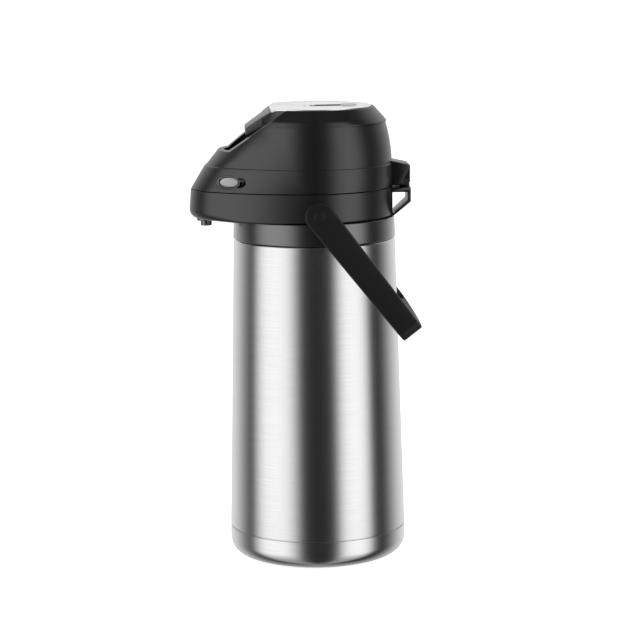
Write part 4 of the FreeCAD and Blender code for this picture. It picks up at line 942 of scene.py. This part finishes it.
def make_foot():
    """The rubber foot: a thin disc with rings of low studs let into its underside."""
    radius, pole = reach("foot_pad", 0), 0.5 * MM
    top, low = level("foot_pad", 1), level("foot_pad", 0) + 0.5 * MM
    disc = turned([(pole, low, 0), (radius, low, 0.4 * MM), (radius, top, 0.2 * MM), (pole, top, 0)])
    tree, names = stud_tree()
    studs = []
    for ring, count in ((18, 16), (28, 26), (38, 36), (48, 46), (57, 56)):
        studs.append(grown(tree, names, {
            "Ring Radius": ring * MM, "Count": count, "Stud Radius": 1.7 * MM, "Stud Height": 0.7 * MM,
            "Finish": FINISHES["rubber"]}, Vector((0, 0, 0.35 * MM))))
    piece("foot_tread", joined([disc] + studs), "root", "rubber", ["foot_pad"])


make_outer_shell()
make_base()
make_foot()
make_collar()
make_head_base()
make_nozzle()
make_lid_shell()
make_lid_cap()
make_front_panel()
make_lever()
make_lock()
make_buttons()
make_bail()
make_bail_screws()
make_bracket()


# ---------------------------------------------------------------- studio
def make_floor():
    """A wide pale floor that gives off light of its own, kept out of reflections and bounced light."""
    half = 30.0
    mesh = bpy.data.meshes.new("floor")
    corners = [(-half, -half, 0), (half, -half, 0), (half, half, 0), (-half, half, 0)]
    mesh.from_pydata(corners, [], [(0, 1, 2, 3)])
    floor = loose("floor", mesh)
    paint = Finish("pale_floor", (0.93, 0.93, 0.93), 0.8)
    paint.set("Roughness", 0.75 + paint.noise(3.0) * 0.1)
    paint.set("Emission Color", (1.0, 1.0, 1.0, 1.0))
    paint.set("Emission Strength", 0.8)
    mesh.materials.append(paint.material)
    floor.visible_glossy = False
    floor.visible_diffuse = False


def make_sky():
    """Dark surroundings with an upright band of light either side of the camera and a broad one beyond."""
    world = bpy.data.worlds.new("studio")
    world.use_nodes = True
    bpy.context.scene.world = world
    sky = Tree(world.node_tree)
    way = sky.node("ShaderNodeTexCoord", output="Generated")
    level_way = sky.node("ShaderNodeVectorMath", {"operation": "MULTIPLY"}, {0: way, 1: (1, 1, 0)})
    flat = sky.node("ShaderNodeVectorMath", {"operation": "NORMALIZE"}, {0: level_way})

    def lamp(azimuth, inner, outer, strength):
        """A soft upright band of light about an azimuth from +X, full within inner degrees."""
        turn = math.radians(azimuth)
        near = sky.node("ShaderNodeVectorMath", {"operation": "DOT_PRODUCT"}, {
            0: flat, 1: (math.cos(turn), math.sin(turn), 0)}, output="Value")
        return sky.step(near, math.cos(math.radians(outer)), math.cos(math.radians(inner))) * strength

    height = sky.node("ShaderNodeSeparateXYZ", None, {0: way}, output="Z")
    spread = sky.step(height, -0.95, -0.25, 0.3, 1.0) * (1.0 - 0.9 * sky.step(height, 0.45, 0.85))
    light = 0.022 + spread * (lamp(-61, 2, 41, 1.3) + lamp(50, 2, 31, 1.33) + lamp(177, 10, 86, 0.9))
    glow = sky.node("ShaderNodeBackground", None, {"Color": (1, 1, 1, 1), "Strength": light})
    sky.node("ShaderNodeOutputWorld", None, {"Surface": glow})


def soft_box(name, azimuth, height, distance, size, power):
    """A flat lamp that faces the body, left out of reflections: gloss shows only the sky's bands."""
    lamp = bpy.data.lights.new(name, "AREA")
    lamp.shape = "RECTANGLE"
    lamp.size, lamp.size_y = size
    lamp.energy = power
    thing = bpy.data.objects.new(name, lamp)
    bpy.context.scene.collection.objects.link(thing)
    turn = math.radians(azimuth)
    thing.location = (distance * math.cos(turn), distance * math.sin(turn), height)
    aim = BODY_CENTRE - thing.location
    thing.rotation_euler = aim.to_track_quat("-Z", "Y").to_euler()
    thing.visible_glossy = False


def make_camera():
    """A long lens from the +X side, a little above, rolled by less than a degree."""
    data = bpy.data.cameras.new("camera")
    data.sensor_width = 36.0
    data.lens = 138.0
    thing = bpy.data.objects.new("camera", data)
    bpy.context.scene.collection.objects.link(thing)
    bpy.context.scene.camera = thing
    azimuth, roll, offset = math.radians(87.0), math.radians(0.7), 0.0042
    eye = Vector((2.146, -0.1125, 0.5757))
    target = Vector((0, 0, 0.2103)) + Vector((math.cos(azimuth), math.sin(azimuth), 0)) * offset
    ahead = (target - eye).normalized()
    right = ahead.cross(Vector((0, 0, 1))).normalized()
    up = right.cross(ahead)
    tipped_up = up * math.cos(roll) + right * math.sin(roll)
    tipped_right = right * math.cos(roll) - up * math.sin(roll)
    turn = Matrix((tipped_right, tipped_up, -ahead)).transposed().to_4x4()
    thing.matrix_world = Matrix.Translation(eye) @ turn


make_floor()
make_sky()
soft_box("key_left", -58, 1.0, 1.9, (0.8, 1.6), 22)
soft_box("key_right", 47, 0.9, 1.9, (0.6, 1.6), 20)
soft_box("top", 100, 2.2, 0.4, (1.2, 1.2), 12)
make_camera()
bpy.context.scene.view_settings.view_transform = "Standard"
